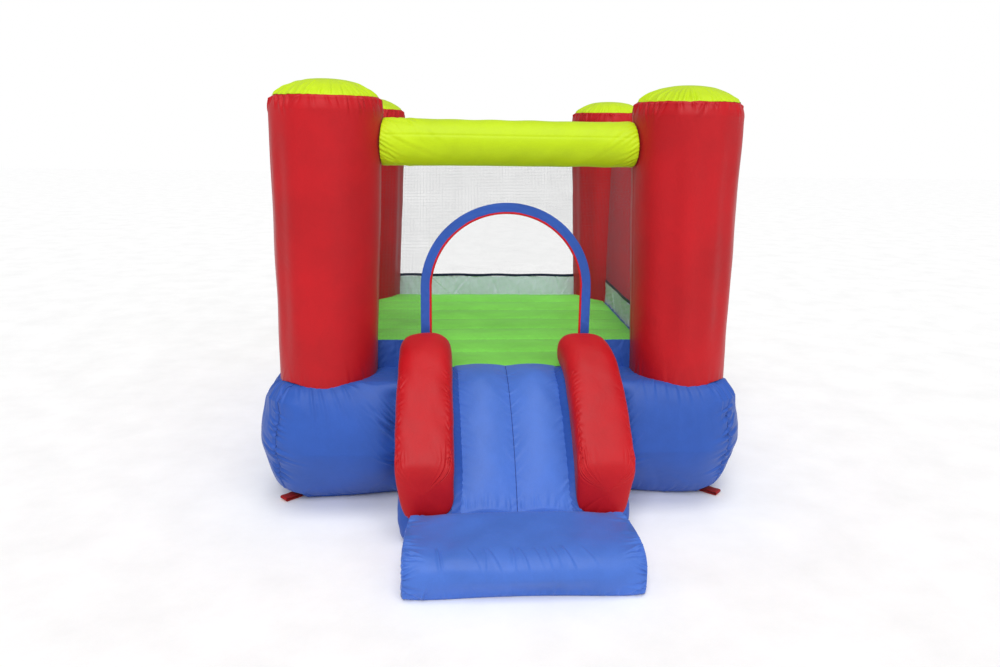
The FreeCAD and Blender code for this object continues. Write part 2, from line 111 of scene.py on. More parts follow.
def normals(P, loop_u=False, loop_v=False):
    """Unit normals of a grid of points, pointing along du x dv."""
    def slope(axis, loop):
        if loop:
            return np.roll(P, -1, axis) - np.roll(P, 1, axis)
        return np.gradient(P, axis=axis)
    n = np.cross(slope(0, loop_u), slope(1, loop_v))
    return n / np.maximum(np.linalg.norm(n, axis=-1, keepdims=True), 1e-9)


def noise(seed, *coords, scales=(1.0,), octaves=3):
    """Smooth random waves, about -1 to 1, the same on every run."""
    rng = np.random.default_rng(seed)
    total = 0.0
    for o in range(octaves):
        for _ in range(4):
            phase = rng.uniform(0, 2 * math.pi)
            wave = phase
            for c, s in zip(coords, scales):
                wave = wave + c * rng.normal() * 2 * math.pi * (1.7**o) / s
            total = total + np.sin(wave) / (1.6**o)
    return total / 5.0


def crease(d):
    """A sharp fold: a raised ridge beside a narrow valley."""
    return np.exp(-d * d) - 0.75 * np.exp(-((d - 1.25) / 0.7) ** 2)


def puckers(seed, s, t, low, high, pitch, amp, width, length, slant=0.0, spread=0.5, crossing=False):
    """Short folds along a seam at t = 0, from s = low to high.

    pitch apart, amp high, width across, length along t; slant leans them all, spread each at random,
    and with crossing each runs straight over the seam.
    """
    rng = np.random.default_rng(seed)
    s, t = np.broadcast_arrays(s, t)
    out = np.zeros(s.shape)
    near = np.flatnonzero(np.abs(t) < 2.6 * length)
    sn, tn = s.ravel()[near], t.ravel()[near]
    flat = out.ravel()
    at = low + pitch * rng.uniform(0, 0.6)
    while at < high:
        a = amp * rng.uniform(0.35, 1.0)
        w = width * rng.uniform(0.7, 1.4)
        reach = length * rng.uniform(0.45, 1.25)
        k = slant * rng.uniform(0.6, 1.4) + spread * rng.normal() * 0.3
        bend = rng.normal() * 0.8
        part = np.flatnonzero(np.abs(sn - at) < 2.2 * reach * abs(k) + 6 * w + 0.02)
        if len(part):
            away = np.abs(tn[part])
            lean_by = k * (tn[part] if crossing else away)
            d = (sn[part] - at - lean_by - bend * away * away) / (w * (1 + 0.6 * away / reach))
            flat[near[part]] += a * crease(d) * np.exp(-((away / reach) ** 2))
        at += pitch * rng.uniform(0.5, 1.5)
    return flat.reshape(s.shape)


def mesh_object(name, verts, faces, material, body=HOUSE):
    mesh = bpy.data.meshes.new(name)
    faces = faces.tolist() if isinstance(faces, np.ndarray) else faces
    mesh.from_pydata(np.asarray(verts, float).reshape(-1, 3).tolist(), [], faces)
    mesh.update()
    mesh.shade_smooth()
    obj = bpy.data.objects.new(name, mesh)
    bpy.context.collection.objects.link(obj)
    obj.data.materials.append(material)
    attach(obj, body)
    return obj


def grid_faces(nu, nv, loop_u=False, loop_v=False, keep=None, flip=False):
    i = np.arange(nu if loop_u else nu - 1)[:, None]
    j = np.arange(nv if loop_v else nv - 1)[None, :]
    i2, j2 = (i + 1) % nu, (j + 1) % nv
    quads = np.stack([i * nv + j, i2 * nv + j, i2 * nv + j2, i * nv + j2], -1)
    if keep is not None:
        quads = quads[keep[: quads.shape[0], : quads.shape[1]]]
    quads = quads.reshape(-1, 4)
    return quads[:, ::-1] if flip else quads


def bar_faces(n, m):
    """Faces of a closed bar of n rings with m points each."""
    faces = grid_faces(n, m, False, True).tolist()
    faces.append(list(range(m))[::-1])
    faces.append([(n - 1) * m + i for i in range(m)])
    return faces


def sheet_from(name, P, material, loop_u=False, loop_v=False, keep=None, flip=False, body=HOUSE):
    faces = grid_faces(P.shape[0], P.shape[1], loop_u, loop_v, keep, flip)
    return mesh_object(name, P, faces, material, body)


def tube(name, path, radius, material, sides=10, squeeze=1.0):
    """A round tube, or an oval one with squeeze, along a list of points."""
    path = np.asarray(path, float)
    n = len(path)
    along = np.gradient(path, axis=0)
    along /= np.linalg.norm(along, axis=1, keepdims=True)
    side = np.cross(along, UP)
    weak = np.linalg.norm(side, axis=1) < 0.2
    side[weak] = np.cross(along[weak], np.array([0.0, 1.0, 0.0]))
    side /= np.linalg.norm(side, axis=1, keepdims=True)
    lift = np.cross(side, along)
    radius = np.broadcast_to(np.asarray(radius, float).reshape(-1, 1), (n, 1))
    a = np.linspace(0, 2 * math.pi, sides, endpoint=False)
    P = (
        path[:, None]
        + radius[:, None] * np.cos(a)[None, :, None] * side[:, None]
        + radius[:, None] * squeeze * np.sin(a)[None, :, None] * lift[:, None]
    )
    return mesh_object(name, P, bar_faces(n, sides), material)


def dress(obj, slot, *nodes, fill=None):
    """Hide the CAD nodes that a piece stands for. The slot and fill arguments are not used."""
    if nodes:
        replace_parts(obj, *nodes)


def thick(obj, thickness, offset=0.0):
    m = obj.modifiers.new("cloth", "SOLIDIFY")
    m.thickness = thickness
    m.offset = offset
    return obj


# ---------------------------------------------------------------- materials

def linear(rgb):
    c = np.asarray(rgb, float) / 255
    return np.where(c <= 0.04045, c / 12.92, ((c + 0.055) / 1.055) ** 2.4)


def node(tree, kind, **values):
    n = tree.nodes.new(kind)
    for key, value in values.items():
        n.inputs[key.replace("_", " ")].default_value = value
    return n


def fabric(name, rgb, dark=0.82, rough=0.5, sheen=0.08, weave=1400.0, bump=0.12, crumple=0.0, spec=0.28):
    """Coated cloth: mottled colour, a fine plain weave and, where asked, small crumples in the bump."""
    m = bpy.data.materials.new(name)
    m.use_nodes = True
    t = m.node_tree
    t.nodes.clear()
    out = t.nodes.new("ShaderNodeOutputMaterial")
    p = t.nodes.new("ShaderNodeBsdfPrincipled")
    t.links.new(p.outputs[0], out.inputs[0])
    where = t.nodes.new("ShaderNodeTexCoord").outputs["Object"]
    cloud = node(t, "ShaderNodeTexNoise", Scale=3.5, Detail=5.0, Roughness=0.62)
    t.links.new(where, cloud.inputs["Vector"])
    fine = node(t, "ShaderNodeTexNoise", Scale=260.0, Detail=2.0)
    t.links.new(where, fine.inputs["Vector"])
    both = t.nodes.new("ShaderNodeMath")
    both.operation = "MULTIPLY_ADD"
    t.links.new(fine.outputs["Fac"], both.inputs[0])
    both.inputs[1].default_value = 0.25
    t.links.new(cloud.outputs["Fac"], both.inputs[2])
    shade = t.nodes.new("ShaderNodeValToRGB")
    light = linear(rgb)
    shade.color_ramp.elements[0].position = 0.40
    shade.color_ramp.elements[0].color = (*(light * dark), 1)
    shade.color_ramp.elements[1].position = 0.82
    shade.color_ramp.elements[1].color = (*np.minimum(light * 1.06, 1.0), 1)
    t.links.new(both.outputs[0], shade.inputs["Fac"])
    t.links.new(shade.outputs["Color"], p.inputs["Base Color"])
    gloss = node(t, "ShaderNodeMapRange", From_Min=0.3, From_Max=0.7, To_Min=rough - 0.05, To_Max=rough + 0.07)
    t.links.new(cloud.outputs["Fac"], gloss.inputs["Value"])
    t.links.new(gloss.outputs["Result"], p.inputs["Roughness"])
    p.inputs["Sheen Weight"].default_value = sheen
    p.inputs["Sheen Roughness"].default_value = 0.4
    p.inputs["Specular IOR Level"].default_value = spec
    warp = node(t, "ShaderNodeTexWave", Scale=weave / 6.3, Distortion=0.6)
    warp.bands_direction = "DIAGONAL"
    weft = node(t, "ShaderNodeTexWave", Scale=weave / 6.3, Distortion=0.6)
    weft.bands_direction = "Z"
    thread = t.nodes.new("ShaderNodeMath")
    thread.operation = "MAXIMUM"
    for wave, slot in ((warp, 0), (weft, 1)):
        t.links.new(where, wave.inputs["Vector"])
        t.links.new(wave.outputs["Fac"], thread.inputs[slot])
    first = node(t, "ShaderNodeBump", Strength=bump, Distance=0.0006)
    t.links.new(thread.outputs[0], first.inputs["Height"])
    last = first
    if crumple:
        fold = node(t, "ShaderNodeTexNoise", Scale=9.0, Detail=4.0, Roughness=0.55, Distortion=1.2)
        t.links.new(where, fold.inputs["Vector"])
        last = node(t, "ShaderNodeBump", Strength=crumple, Distance=0.02)
        t.links.new(fold.outputs["Fac"], last.inputs["Height"])
        t.links.new(first.outputs["Normal"], last.inputs["Normal"])
    t.links.new(last.outputs["Normal"], p.inputs["Normal"])
    return m


RED = fabric("red_cloth", (188, 12, 24), crumple=0.10, rough=0.5)
LIME = fabric("lime_cloth", (190, 220, 0), dark=0.88, crumple=0.08, rough=0.5)
BLUE = fabric("blue_cloth", (46, 88, 176), crumple=0.10, rough=0.5)
SLIDE_BLUE = fabric("slide_cloth", (70, 112, 200), crumple=0.08, rough=0.45)
GREEN = fabric("green_cloth", (126, 218, 84), crumple=0.10, rough=0.6)
GREY = fabric("grey_cloth", (196, 206, 218), dark=0.95, crumple=0.05, rough=0.6)
NAVY = fabric("navy_tape", (16, 24, 58), rough=0.6, weave=2600, bump=0.3)
EDGE_BLUE = fabric("edge_tape", (22, 84, 178), rough=0.55, weave=2600, bump=0.3)
PIPING = fabric("red_piping", (210, 18, 24), rough=0.5, weave=2600, bump=0.3)
WEBBING = fabric("red_webbing", (166, 20, 22), rough=0.65, weave=1600, bump=0.6)
# Dark seam thread; along the slide bed's groove its darkness also stands for painted shade.
THREAD = fabric("seam_thread", (30, 62, 140), rough=0.7, weave=3000, bump=0.4)
NET = fabric("net_cord", (92, 96, 104), rough=0.7, weave=3000, bump=0.3)
NYLON = fabric("white_web", (226, 226, 222), rough=0.6)
BLACK = fabric("black_strap", (24, 24, 26), rough=0.65, weave=1600, bump=0.5)


def enamel(name, rgb, rough=0.35, metallic=0.0):
    """Moulded or painted hard parts: slight mottling and worn, uneven gloss."""
    m = fabric(name, rgb, rough=rough, sheen=0.0, bump=0.02)
    m.node_tree.nodes["Principled BSDF"].inputs["Metallic"].default_value = metallic
    return m


ZIP_PLASTIC = enamel("zip_nylon", (26, 28, 32))
ZIP_METAL = enamel("zip_zinc", (52, 54, 58), rough=0.3, metallic=0.7)

# ---------------------------------------------------------------- base

def full(level, power):
    return (1 - np.minimum(level, 1.0) ** power) ** (1 / power)


def base_reach(z):
    """(side, end) reach of the base past the post centres at height z."""
    mid = FLOOR_Z / 2
    level = np.abs(z - mid) / mid
    upper = full(level, 2.05)
    side = np.where(z < mid, mix(SIDE_FOOT, SIDE_WIDE, full(level, 1.6)), mix(SIDE_TOP, SIDE_WIDE, upper))
    end = np.where(z < mid, mix(END_FOOT, END_WIDE, full(level, 1.3)), mix(END_TOP, END_WIDE, upper))
    return side, end


def base_columns():
    """Columns round the base: (corner factors cx, cy, normal nx, ny), starting at the front's middle."""
    cols = []
    def straight(a, b, n, normal):
        for k in range(n):
            q = mix(np.array(a, float), np.array(b, float), k / n)
            cols.append((q[0], q[1], *normal))
    def arc(cx, cy, start, n):
        for k in range(n):
            a = start + math.pi / 2 * k / n
            cols.append((cx, cy, math.cos(a), math.sin(a)))
    straight((0, 0), (1, 0), 190, (0, -1))
    arc(1, 0, -math.pi / 2, 110)
    straight((1, 0), (1, 1), 230, (1, 0))
    arc(1, 1, 0, 80)
    straight((1, 1), (-1, 1), 230, (0, 1))
    arc(-1, 1, math.pi / 2, 80)
    straight((-1, 1), (-1, 0), 230, (-1, 0))
    arc(-1, 0, math.pi, 110)
    straight((-1, 0), (0, 0), 190, (0, -1))
    return np.array(cols)


COLS = base_columns()


def base_surface(z, side, end_front, end_rear, radius):
    """Points of the base's outline for every column, one ring per height."""
    cx, cy, nx, ny = (COLS[:, k][:, None] for k in range(4))
    half = POST_X + side[None, :]
    front = FRONT_POST - end_front[None, :] + radius[None, :]
    rear = REAR_POST + end_rear[None, :] - radius[None, :]
    x = cx * (half - radius[None, :]) + radius[None, :] * nx
    y = mix(front, rear, cy) + radius[None, :] * ny
    return np.stack([x, y, np.broadcast_to(z[None, :], x.shape)], -1)


def loop_joints():
    """Each stake loop's body, root and outward direction, from the joints in the record."""
    for joint in frame["record"]["behaviour"]["joints"]:
        if not joint["name"].startswith("anchor_loop"):
            continue
        pivot = np.array(joint["pos_m"])
        out = np.cross(np.array(joint["axis"]), UP)
        if out @ (pivot - np.array([0, (FRONT_POST + REAR_POST) / 2, 0])) < 0:
            out = -out
        yield joint["child"], pivot, out


def clear_loops(P):
    """Draw the base in over each stake loop, so that the loop lifts through its range without touching it."""
    heights = [0.0, 0.008, 0.0175, 0.0265, 0.034, 0.049, 0.062, 0.080, 0.15]
    reaches = [-0.004, -0.003, 0.006, 0.015, 0.024, 0.050, 0.076, 0.12, 0.40]
    for _, pivot, out in loop_joints():
        ahead = (P - pivot) @ out
        across = np.abs((P - pivot) @ np.cross(UP, out))
        over = np.maximum(ahead - np.interp(P[..., 2], heights, reaches), 0)
        P = P - (over * (1 - ramp(0.034, 0.11, across)))[..., None] * out
    return P


def make_base():
    """The base's wall and flat top as one skin, with seams, puckers and folds, and its bottom sheet."""
    low = np.linspace(0, 1, 110)
    z_low = FLOOR_Z / 2 * (1 - np.cos(low * math.pi / 2))
    z_high = FLOOR_Z / 2 * (1 + np.sin(np.linspace(0, 1, 110)[1:] * math.pi / 2))
    z = np.concatenate([z_low, z_high])
    side, end = base_reach(z)
    inward = np.linspace(0, 1, TOP_RINGS + 1)[1:]
    z = np.concatenate([z, np.full(TOP_RINGS, FLOOR_Z)])
    tuck = 0.022
    end_front = np.concatenate([end, mix(END_TOP, FRONT_POST - FRONT_WALL - tuck, inward)])
    end_rear = np.concatenate([end, mix(END_TOP, REAR_WALL - REAR_POST - tuck, inward)])
    side = np.concatenate([side, mix(SIDE_TOP, SIDE_WALL - POST_X - tuck, inward)])
    radius = 0.085 + 0.165 * ramp(0.0, 0.24, z) * (1 - ramp(0.40, 0.56, z))
    radius = np.maximum(radius, 0.085 + 0.075 * ramp(0.3, 0.5, z))
    radius[-TOP_RINGS:] = mix(radius[-TOP_RINGS - 1], 0.03, inward)
    P = base_surface(z, side, end_front, end_rear, radius)
    N = normals(P, loop_u=True)
    if N[0, MID_ROW] @ np.array([0, -1, 0]) < 0:
        N = -N
    x, y, h = P[..., 0], P[..., 1], P[..., 2]
    nx, ny = np.broadcast_to(COLS[:, 2][:, None], x.shape), np.broadcast_to(COLS[:, 3][:, None], x.shape)
    angle = np.degrees(np.arctan2(np.abs(nx), np.abs(ny)))
    wall = 1 - ramp(FLOOR_Z - 0.05, FLOOR_Z, h)
    D = 0.006 * noise(3, x, y, h, scales=(0.9, 0.9, 0.5), octaves=2) * wall
    arc = (angle - SEAM_ANGLE) / 90 * 0.26 + (1 - np.abs(COLS[:, 0][:, None])) * -1.0
    arc = arc - np.where(np.abs(nx) > 0.999, np.abs(COLS[:, 1][:, None] - np.round(COLS[:, 1][:, None])) * -1.7, 0)
    D -= 0.0075 * np.exp(-((arc / 0.0065) ** 2)) * wall
    body = ramp(0.06, 0.16, h) * (1 - ramp(0.44, 0.54, h))
    for k, (sx, sy) in enumerate(((-1, -1), (1, -1), (-1, 1), (1, 1))):
        mine = (np.sign(x) == sx) & (np.sign(y - 0.2) == sy)
        folds = puckers(11 + k, h, arc, 0.12, 0.47, 0.034, 0.0100, 0.0058, 0.052, 0.45, 0.5, crossing=True)
        D += np.where(mine, folds * body, 0)
        foot = np.hypot(x - sx * POST_X, y - (FRONT_POST if sy < 0 else REAR_POST))
        turn = np.arctan2(y - (FRONT_POST if sy < 0 else REAR_POST), x - sx * POST_X)
        out = foot - FOOT_R
        ring = puckers(31 + k, turn * 0.22, out, -0.7, 0.7, 0.036, 0.0070, 0.0052, 0.075, slant=0.4)
        D += np.where(mine & (out > -0.05) & (h > 0.30), ring, 0) * ramp(0.30, 0.46, h) * ramp(-0.01, 0.02, out)
        D -= np.where(mine, 0.006 * np.exp(-((out / 0.02) ** 2)), 0) * ramp(0.45, 0.54, h)
    perimeter = np.cumsum(np.r_[0, np.linalg.norm(np.diff(P[:, MID_ROW], axis=0), axis=1)])[:, None]
    D += puckers(51, perimeter, h, 0.0, 8.2, 0.036, 0.0065, 0.006, 0.050, spread=1.2) * ramp(0.0, 0.02, h)
    D += puckers(52, perimeter, h, 0.0, 8.2, 0.16, 0.0035, 0.013, 0.20, spread=1.5) * ramp(0.0, 0.02, h)
    for sx in (-1, 1):
        gap = np.abs(x) - RAIL_HIGH.x
        mine = (np.sign(x) == sx) & (y < FRONT_POST) & (gap > -0.05)
        drag = puckers(61 + sx, h, gap, 0.16, 0.50, 0.022, 0.0115, 0.0058, 0.075, slant=0.9)
        D += np.where(mine, drag, 0) * body
        D -= np.where(mine, 0.030 * np.exp(-((gap / 0.05) ** 2)), 0) * ramp(0.02, 0.15, h) * wall
    pull = 0.045 * np.exp(-(((np.abs(x) - RAIL_HIGH.x) / 0.20) ** 2)) * (1 - ramp(0.0, 0.22, h)) * (ny < -0.7)
    P = P + D[..., None] * N
    P[..., 0] -= 0.020 * ramp(0.75, 1.05, x) * (1 - ramp(-0.6, 0.6, y)) * wall
    P[..., 1] += pull * (y < 0)
    P[..., 2] = np.clip(P[..., 2], 0.0, None)
    rim = P[:, 0].copy()
    P = clear_loops(P)
    P[:, 0] = rim
    keep = ~((np.abs(P[..., 0]) < RAIL_HIGH.x - 0.012) & (P[..., 1] < FRONT_WALL + 0.004))
    obj = sheet_from("base_skin", P, BLUE, loop_u=True, keep=keep)
    panels = ("base_front_panel", "base_rear_panel", "base_side_panel_left", "base_side_panel_right")
    dress(obj, "blue_fabric", *panels, fill=0.9)
    rows = slice(6, 205, 2)
    for k, (sx, sy) in enumerate(((-1, -1), (1, -1), (-1, 1), (1, 1))):
        mine = (np.sign(P[:, MID_ROW, 0]) == sx) & (np.sign(P[:, MID_ROW, 1] - 0.2) == sy)
        col = int(np.argmin(np.where(mine, np.abs(arc[:, 0]), 9.0)))
        line = P[col, rows] - 0.0006 * N[col, rows]
        stitch = tube(f"base_seam_{k + 1}", line, 0.0018, THREAD, sides=6)
    make_bottom(rim)
    return P


def make_base_trim(P):
    """The bright binding round the foot, left open where the slide joins."""
    rim = P[:, 0].copy()
    front = (rim[:, 1] < FRONT_POST + 0.1) & (np.abs(rim[:, 0]) < RAIL_HIGH.x - 0.004)
    order = np.arange(len(rim))
    start = int(np.argmax(front & (rim[:, 0] < 0)))
    loop = np.roll(order, -start)
    path = rim[[i for i in loop if not front[i]]]
    gaps = np.linalg.norm(np.diff(path, axis=0), axis=1)
    cut = int(np.argmax(gaps))
    if gaps[cut] > 0.2:
        path = np.roll(path, -(cut + 1), axis=0)
    path = path[::3]
    path[:, 2] = 0.0065
    obj = tube("base_edge_tape", path, 0.0095, EDGE_BLUE, sides=10, squeeze=0.68)
    dress(obj, "edge_blue", "base_edge_binding")


def dress_hidden():
    """Material for CAD nodes that keep their own shape."""
    names = ["floor_baffle_%d" % k for k in range(1, 7)] + ["slide_web"]
    for n in names:
        paint(n, NYLON)
    paint("zip_teeth", ZIP_PLASTIC)
    paint("zip_slider", ZIP_METAL)
    paint("zip_pull_tab", ZIP_METAL)
    paint("inlet_strap_buckle", ZIP_PLASTIC)


def paint(name, material):
    o = frame["nodes"][name]
    for s in o.material_slots:
        s.material = material


# ---------------------------------------------------------------- posts, caps and beams

def post_radius(z):
    """Radius of a post's sleeve, widening upwards and rounding in at the shoulder."""
    r = FOOT_R + (SHOULDER_R - FOOT_R) * (z - FLOOR_Z) / (SHOULDER_Z - FLOOR_Z)
    u = np.clip((z - SHOULDER_Z) / (SEAM_Z - SHOULDER_Z), 0, 1)
    return np.where(z > SHOULDER_Z, SEAM_R + (SHOULDER_R - SEAM_R) * (1 - u**1.6), r)


def post_axis(side, z):
    return side * (POST_X - POST_LEAN * (z - FLOOR_Z) / (SEAM_Z - FLOOR_Z))


def drop_under(x, y):
    """How high the base's surface stands under a post at x, y."""
    z = np.full(np.shape(x), FLOOR_Z)
    reach_x = np.abs(x) - POST_X
    reach_y = np.maximum(FRONT_POST - y, y - REAR_POST)
    for reach, wide, top in ((reach_x, SIDE_WIDE, SIDE_TOP), (reach_y, END_WIDE, END_TOP)):
        q = np.clip((reach - top) / (wide - top), 0, 0.98)
        level = (1 - q**2.05) ** (1 / 2.05)
        z = np.minimum(z, FLOOR_Z / 2 * (1 + level))
    return z


def make_post(end, hand, side, y0, seed):
    na, nz = 400, 230
    a = np.linspace(0, 2 * math.pi, na, endpoint=False)[:, None]
    foot = drop_under(post_axis(side, FLOOR_Z) + FOOT_R * np.cos(a), y0 + FOOT_R * np.sin(a)) - 0.010
    v = np.linspace(0, 1, nz)[None, :]
    gather = 0.0022 * noise(seed + 3, np.cos(a), np.sin(a), scales=(0.5, 0.5), octaves=3)
    z = mix(foot, SEAM_Z + gather, 1 - (1 - v) ** 1.6)
    r = post_radius(z)
    s = a * SHOULDER_R
    below = SEAM_Z - z
    D = puckers(seed, s, below, 0.0, POST_GIRTH, 0.040, 0.0125, 0.0050, 0.042, spread=0.8)
    D += 0.0030 * np.sin(a * 9 + 2 * np.sin(a * 2 + seed)) * ramp(0.0, 0.3, below) * ramp(0.0, 0.3, z - foot)
    D += puckers(seed + 1, s, z - foot, 0.0, 1.4, 0.060, 0.0022, 0.010, 0.07, spread=1.0)
    D += 0.0030 * noise(seed, np.cos(a) * 0.22, np.sin(a) * 0.22, z, scales=(0.5, 0.5, 0.7), octaves=2)
    D -= 0.0022 * np.exp(-((s - 1.05 * SHOULDER_R * (3 if side > 0 else 0.1)) / 0.004) ** 2)
    D *= ramp(0, 0.012, below)
    r = r + D - 0.003 * ramp(0, 0.02, below) - 0.002 * (1 - ramp(0, 0.01, below))
    P = np.stack([post_axis(side, z) + r * np.cos(a), y0 + r * np.sin(a), z * np.ones_like(a)], -1)
    obj = sheet_from(f"post_{end}_{hand}_skin", P, RED, loop_u=True)
    dress(obj, "red_fabric", f"post_{end}_{hand}", fill=0.95)
    # the cap: a dome gathered on the seam
    u = np.linspace(0, 1, 80)[None, :]
    rise = TOP_Z - SEAM_Z
    rad = (SEAM_R - 0.0015) * (1 - u**1.15)
    height = rise * (1 - (rad / SEAM_R) ** 2.7)
    width = SEAM_R * (1 - u)
    pleats = puckers(seed + 2, s, SEAM_R - rad, 0.0, POST_GIRTH, 0.036, 0.0080, 0.0052, 0.070)
    waves = 0.003 * noise(seed + 5, np.cos(a) * rad, np.sin(a) * rad, scales=(0.16, 0.16), octaves=2)
    lift = (pleats + waves) * ramp(0.0, 0.06, u) * (1 - ramp(0.45, 0.85, u))
    centre = post_axis(side, SEAM_Z)
    tilt = -side * POST_LEAN / (SEAM_Z - FLOOR_Z)
    rx = rad * np.cos(a)
    zc = SEAM_Z - 0.001 + gather * (1 - ramp(0.0, 0.15, u)) + height * 0.985 + lift
    P = np.stack([centre + rx, y0 + rad * np.sin(a), zc - rx * tilt * 0.3 * width / SEAM_R], -1)
    cap = sheet_from(f"cap_{end}_{hand}_skin", P, LIME, loop_u=True)
    dress(cap, "lime_fabric", f"post_cap_{end}_{hand}", fill=0.9)


def make_beam(end, y0, seed):
    """A cross beam whose ends meet the posts on a saddle line, with folds running in from both ends."""
    na, nx = 180, 400
    a = np.linspace(0, 2 * math.pi, na, endpoint=False)[:, None]
    q = np.linspace(-1, 1, nx)[None, :]
    yy, zz = BEAM_R * np.cos(a), BEAM_Z + BEAM_R * np.sin(a)
    reach = POST_X - POST_LEAN * (zz - FLOOR_Z) / (SEAM_Z - FLOOR_Z)
    half = reach - np.sqrt(post_radius(zz) ** 2 - (0.55 * yy) ** 2) + 0.002
    x = q * half
    s = a * BEAM_R
    D = 0.0
    for side in (-1, 1):
        away = half - side * x
        amp = 0.0042 if side < 0 else 0.0026
        D = D + puckers(seed + side, s, away, 0.0, BEAM_GIRTH, 0.022, amp, 0.0050, 0.060, slant=0.5)
        D = D + puckers(seed + 7 + side, s, away, 0.0, 0.6, 0.07, amp, 0.0070, 0.15, slant=0.8)
    D = D + 0.0035 * noise(seed, x, yy, zz, scales=(0.5, 0.3, 0.3), octaves=2)
    D = D - 0.0022 * np.exp(-(((a - math.pi * 0.9) * BEAM_R / 0.004) ** 2))
    end_in = np.clip((half - np.abs(x)) / 0.05, 0, 1)
    r = (BEAM_R - 0.002) * (0.94 + 0.06 * np.sqrt(1 - (1 - end_in) ** 2)) + D
    P = np.stack([x * np.ones_like(a), y0 + r * np.cos(a), BEAM_Z + r * np.sin(a)], -1)
    tips = []
    for edge, out in ((0, -1), (-1, 1)):
        ring = P[:, edge]
        middle = ring.mean(0)
        rows = [
            middle + (ring - middle) * t + np.array([out * 0.012 * (1 - t), 0, 0])
            for t in (0.9, 0.6, 0.3, 0.04)
        ]
        tips.append(np.stack(rows, 1))
    P = np.concatenate([tips[0][:, ::-1], P, tips[1]], axis=1)
    obj = sheet_from(f"beam_{end}_skin", P, LIME, loop_u=True, flip=True)
    dress(obj, "lime_fabric", f"cross_beam_{end}", fill=0.95)


# ---------------------------------------------------------------- floor and walls

def make_floor():
    """The bouncing floor, drawn down along each inner web into soft bands."""
    nx, ny = 160, 300
    x = np.linspace(-SIDE_WALL, SIDE_WALL, nx)[:, None]
    y = np.linspace(FRONT_WALL, REAR_WALL, ny)[None, :]
    band = (y - FRONT_WALL) / (REAR_WALL - FRONT_WALL) * 7
    groove = np.abs(np.sin(band * math.pi)) ** 0.55
    edge = np.minimum(1, (SIDE_WALL - np.abs(x)) / 0.14) ** 0.5
    z = FLOOR_Z + 0.0015 + 0.016 * groove * edge
    z = z + 0.0022 * noise(71, x, y, scales=(0.5, 0.12), octaves=3)
    near = np.abs(band - np.round(band)) * (REAR_WALL - FRONT_WALL) / 7
    z = z + puckers(72, x, near, -0.7, 0.7, 0.05, 0.0022, 0.009, 0.05, spread=1.0)
    z = np.clip(z, FLOOR_Z + 0.0002, FLOOR_Z + 0.020)
    behind = 0.014 * (1 - ramp(0.0, 0.05, y - FRONT_WALL)) * ramp(ARCH_R - 0.03, ARCH_R - 0.01, np.abs(x))
    P = np.stack([0.985 * x * np.ones_like(y), y * np.ones_like(x) + behind, z], -1)
    obj = sheet_from("floor_skin", P, GREEN)
    dress(obj, "green_fabric", "bounce_floor", fill=0.8)


def wall_x(end_y, z):
    """How far a cross wall reaches at height z before it meets the posts."""
    yy = abs(end_y)
    reach = POST_X - POST_LEAN * (z - FLOOR_Z) / (SEAM_Z - FLOOR_Z)
    return reach - np.sqrt(post_radius(z) ** 2 - yy**2) + 0.006


def cross_skirt(name, x0, x1, y, offset, material, seed):
    """A skirt across the front or rear, wrinkled, between two x limits that may be functions of z."""
    nu, nv = (120, 60) if abs(x1 - x0) < 1 else (440, 60)
    v = np.linspace(0, 1, nv)[None, :]
    z = mix(FLOOR_Z - 0.004, SKIRT_TOP, v)
    limit = wall_x(offset, z)
    a = np.where(np.abs(x0) > 0.6, np.sign(x0) * limit, x0)
    b = np.where(np.abs(x1) > 0.6, np.sign(x1) * limit, x1)
    u = np.linspace(0, 1, nu)[:, None]
    x = mix(a, b, u)
    deep = 0.003 * noise(seed, x, z, scales=(0.14, 0.18), octaves=3)
    deep = deep + puckers(seed, x, z - FLOOR_Z, -0.7, 0.7, 0.055, 0.0032, 0.008, 0.09, spread=1.2)
    deep = deep + puckers(seed + 1, x, SKIRT_TOP - z, -0.7, 0.7, 0.06, 0.0028, 0.008, 0.07, spread=1.2)
    P = np.stack([x, y + deep, z * np.ones_like(u)], -1)
    obj = thick(sheet_from(name, P, material), SKIRT_CLOTH)
    return obj


def side_span(side, z):
    """Front and rear y where a side wall meets the posts at height z."""
    dx = np.abs(post_axis(1, z) - SIDE_WALL)
    half = np.sqrt(post_radius(z) ** 2 - dx**2)
    return FRONT_POST + half - 0.006, REAR_POST - half + 0.006


def side_skirt(hand, side, seed):
    nu, nv = 480, 56
    v = np.linspace(0, 1, nv)[None, :]
    z = mix(FLOOR_Z - 0.004, SKIRT_TOP, v)
    a, b = side_span(side, z)
    u = np.linspace(0, 1, nu)[:, None]
    y = mix(a, b, u)
    deep = 0.005 * noise(seed, y, z, scales=(0.16, 0.16), octaves=3)
    deep = deep + puckers(seed, y, z - FLOOR_Z, -0.5, 0.95, 0.07, 0.0050, 0.008, 0.10, spread=1.6)
    P = np.stack([side * SIDE_WALL + deep, y, z * np.ones_like(u)], -1)
    obj = thick(sheet_from(f"skirt_{hand}_cloth", P, GREY), SKIRT_CLOTH)
    dress(obj, "grey_fabric", f"skirt_{hand}")


def strip(name, path, normal, height, thickness, material):
    """A flat tape standing along a path: a closed, slightly rounded bar."""
    path = np.asarray(path, float)
    n = np.asarray(normal, float)
    a = np.linspace(0, 2 * math.pi, 12, endpoint=False)
    cx, cz = np.cos(a), np.sin(a)
    ox = np.sign(cx) * np.abs(cx) ** 0.5 * thickness / 2
    oz = np.sign(cz) * np.abs(cz) ** 0.35 * height / 2
    P = path[:, None] + ox[None, :, None] * n + oz[None, :, None] * UP
    return mesh_object(name, P, bar_faces(len(path), 12), material)


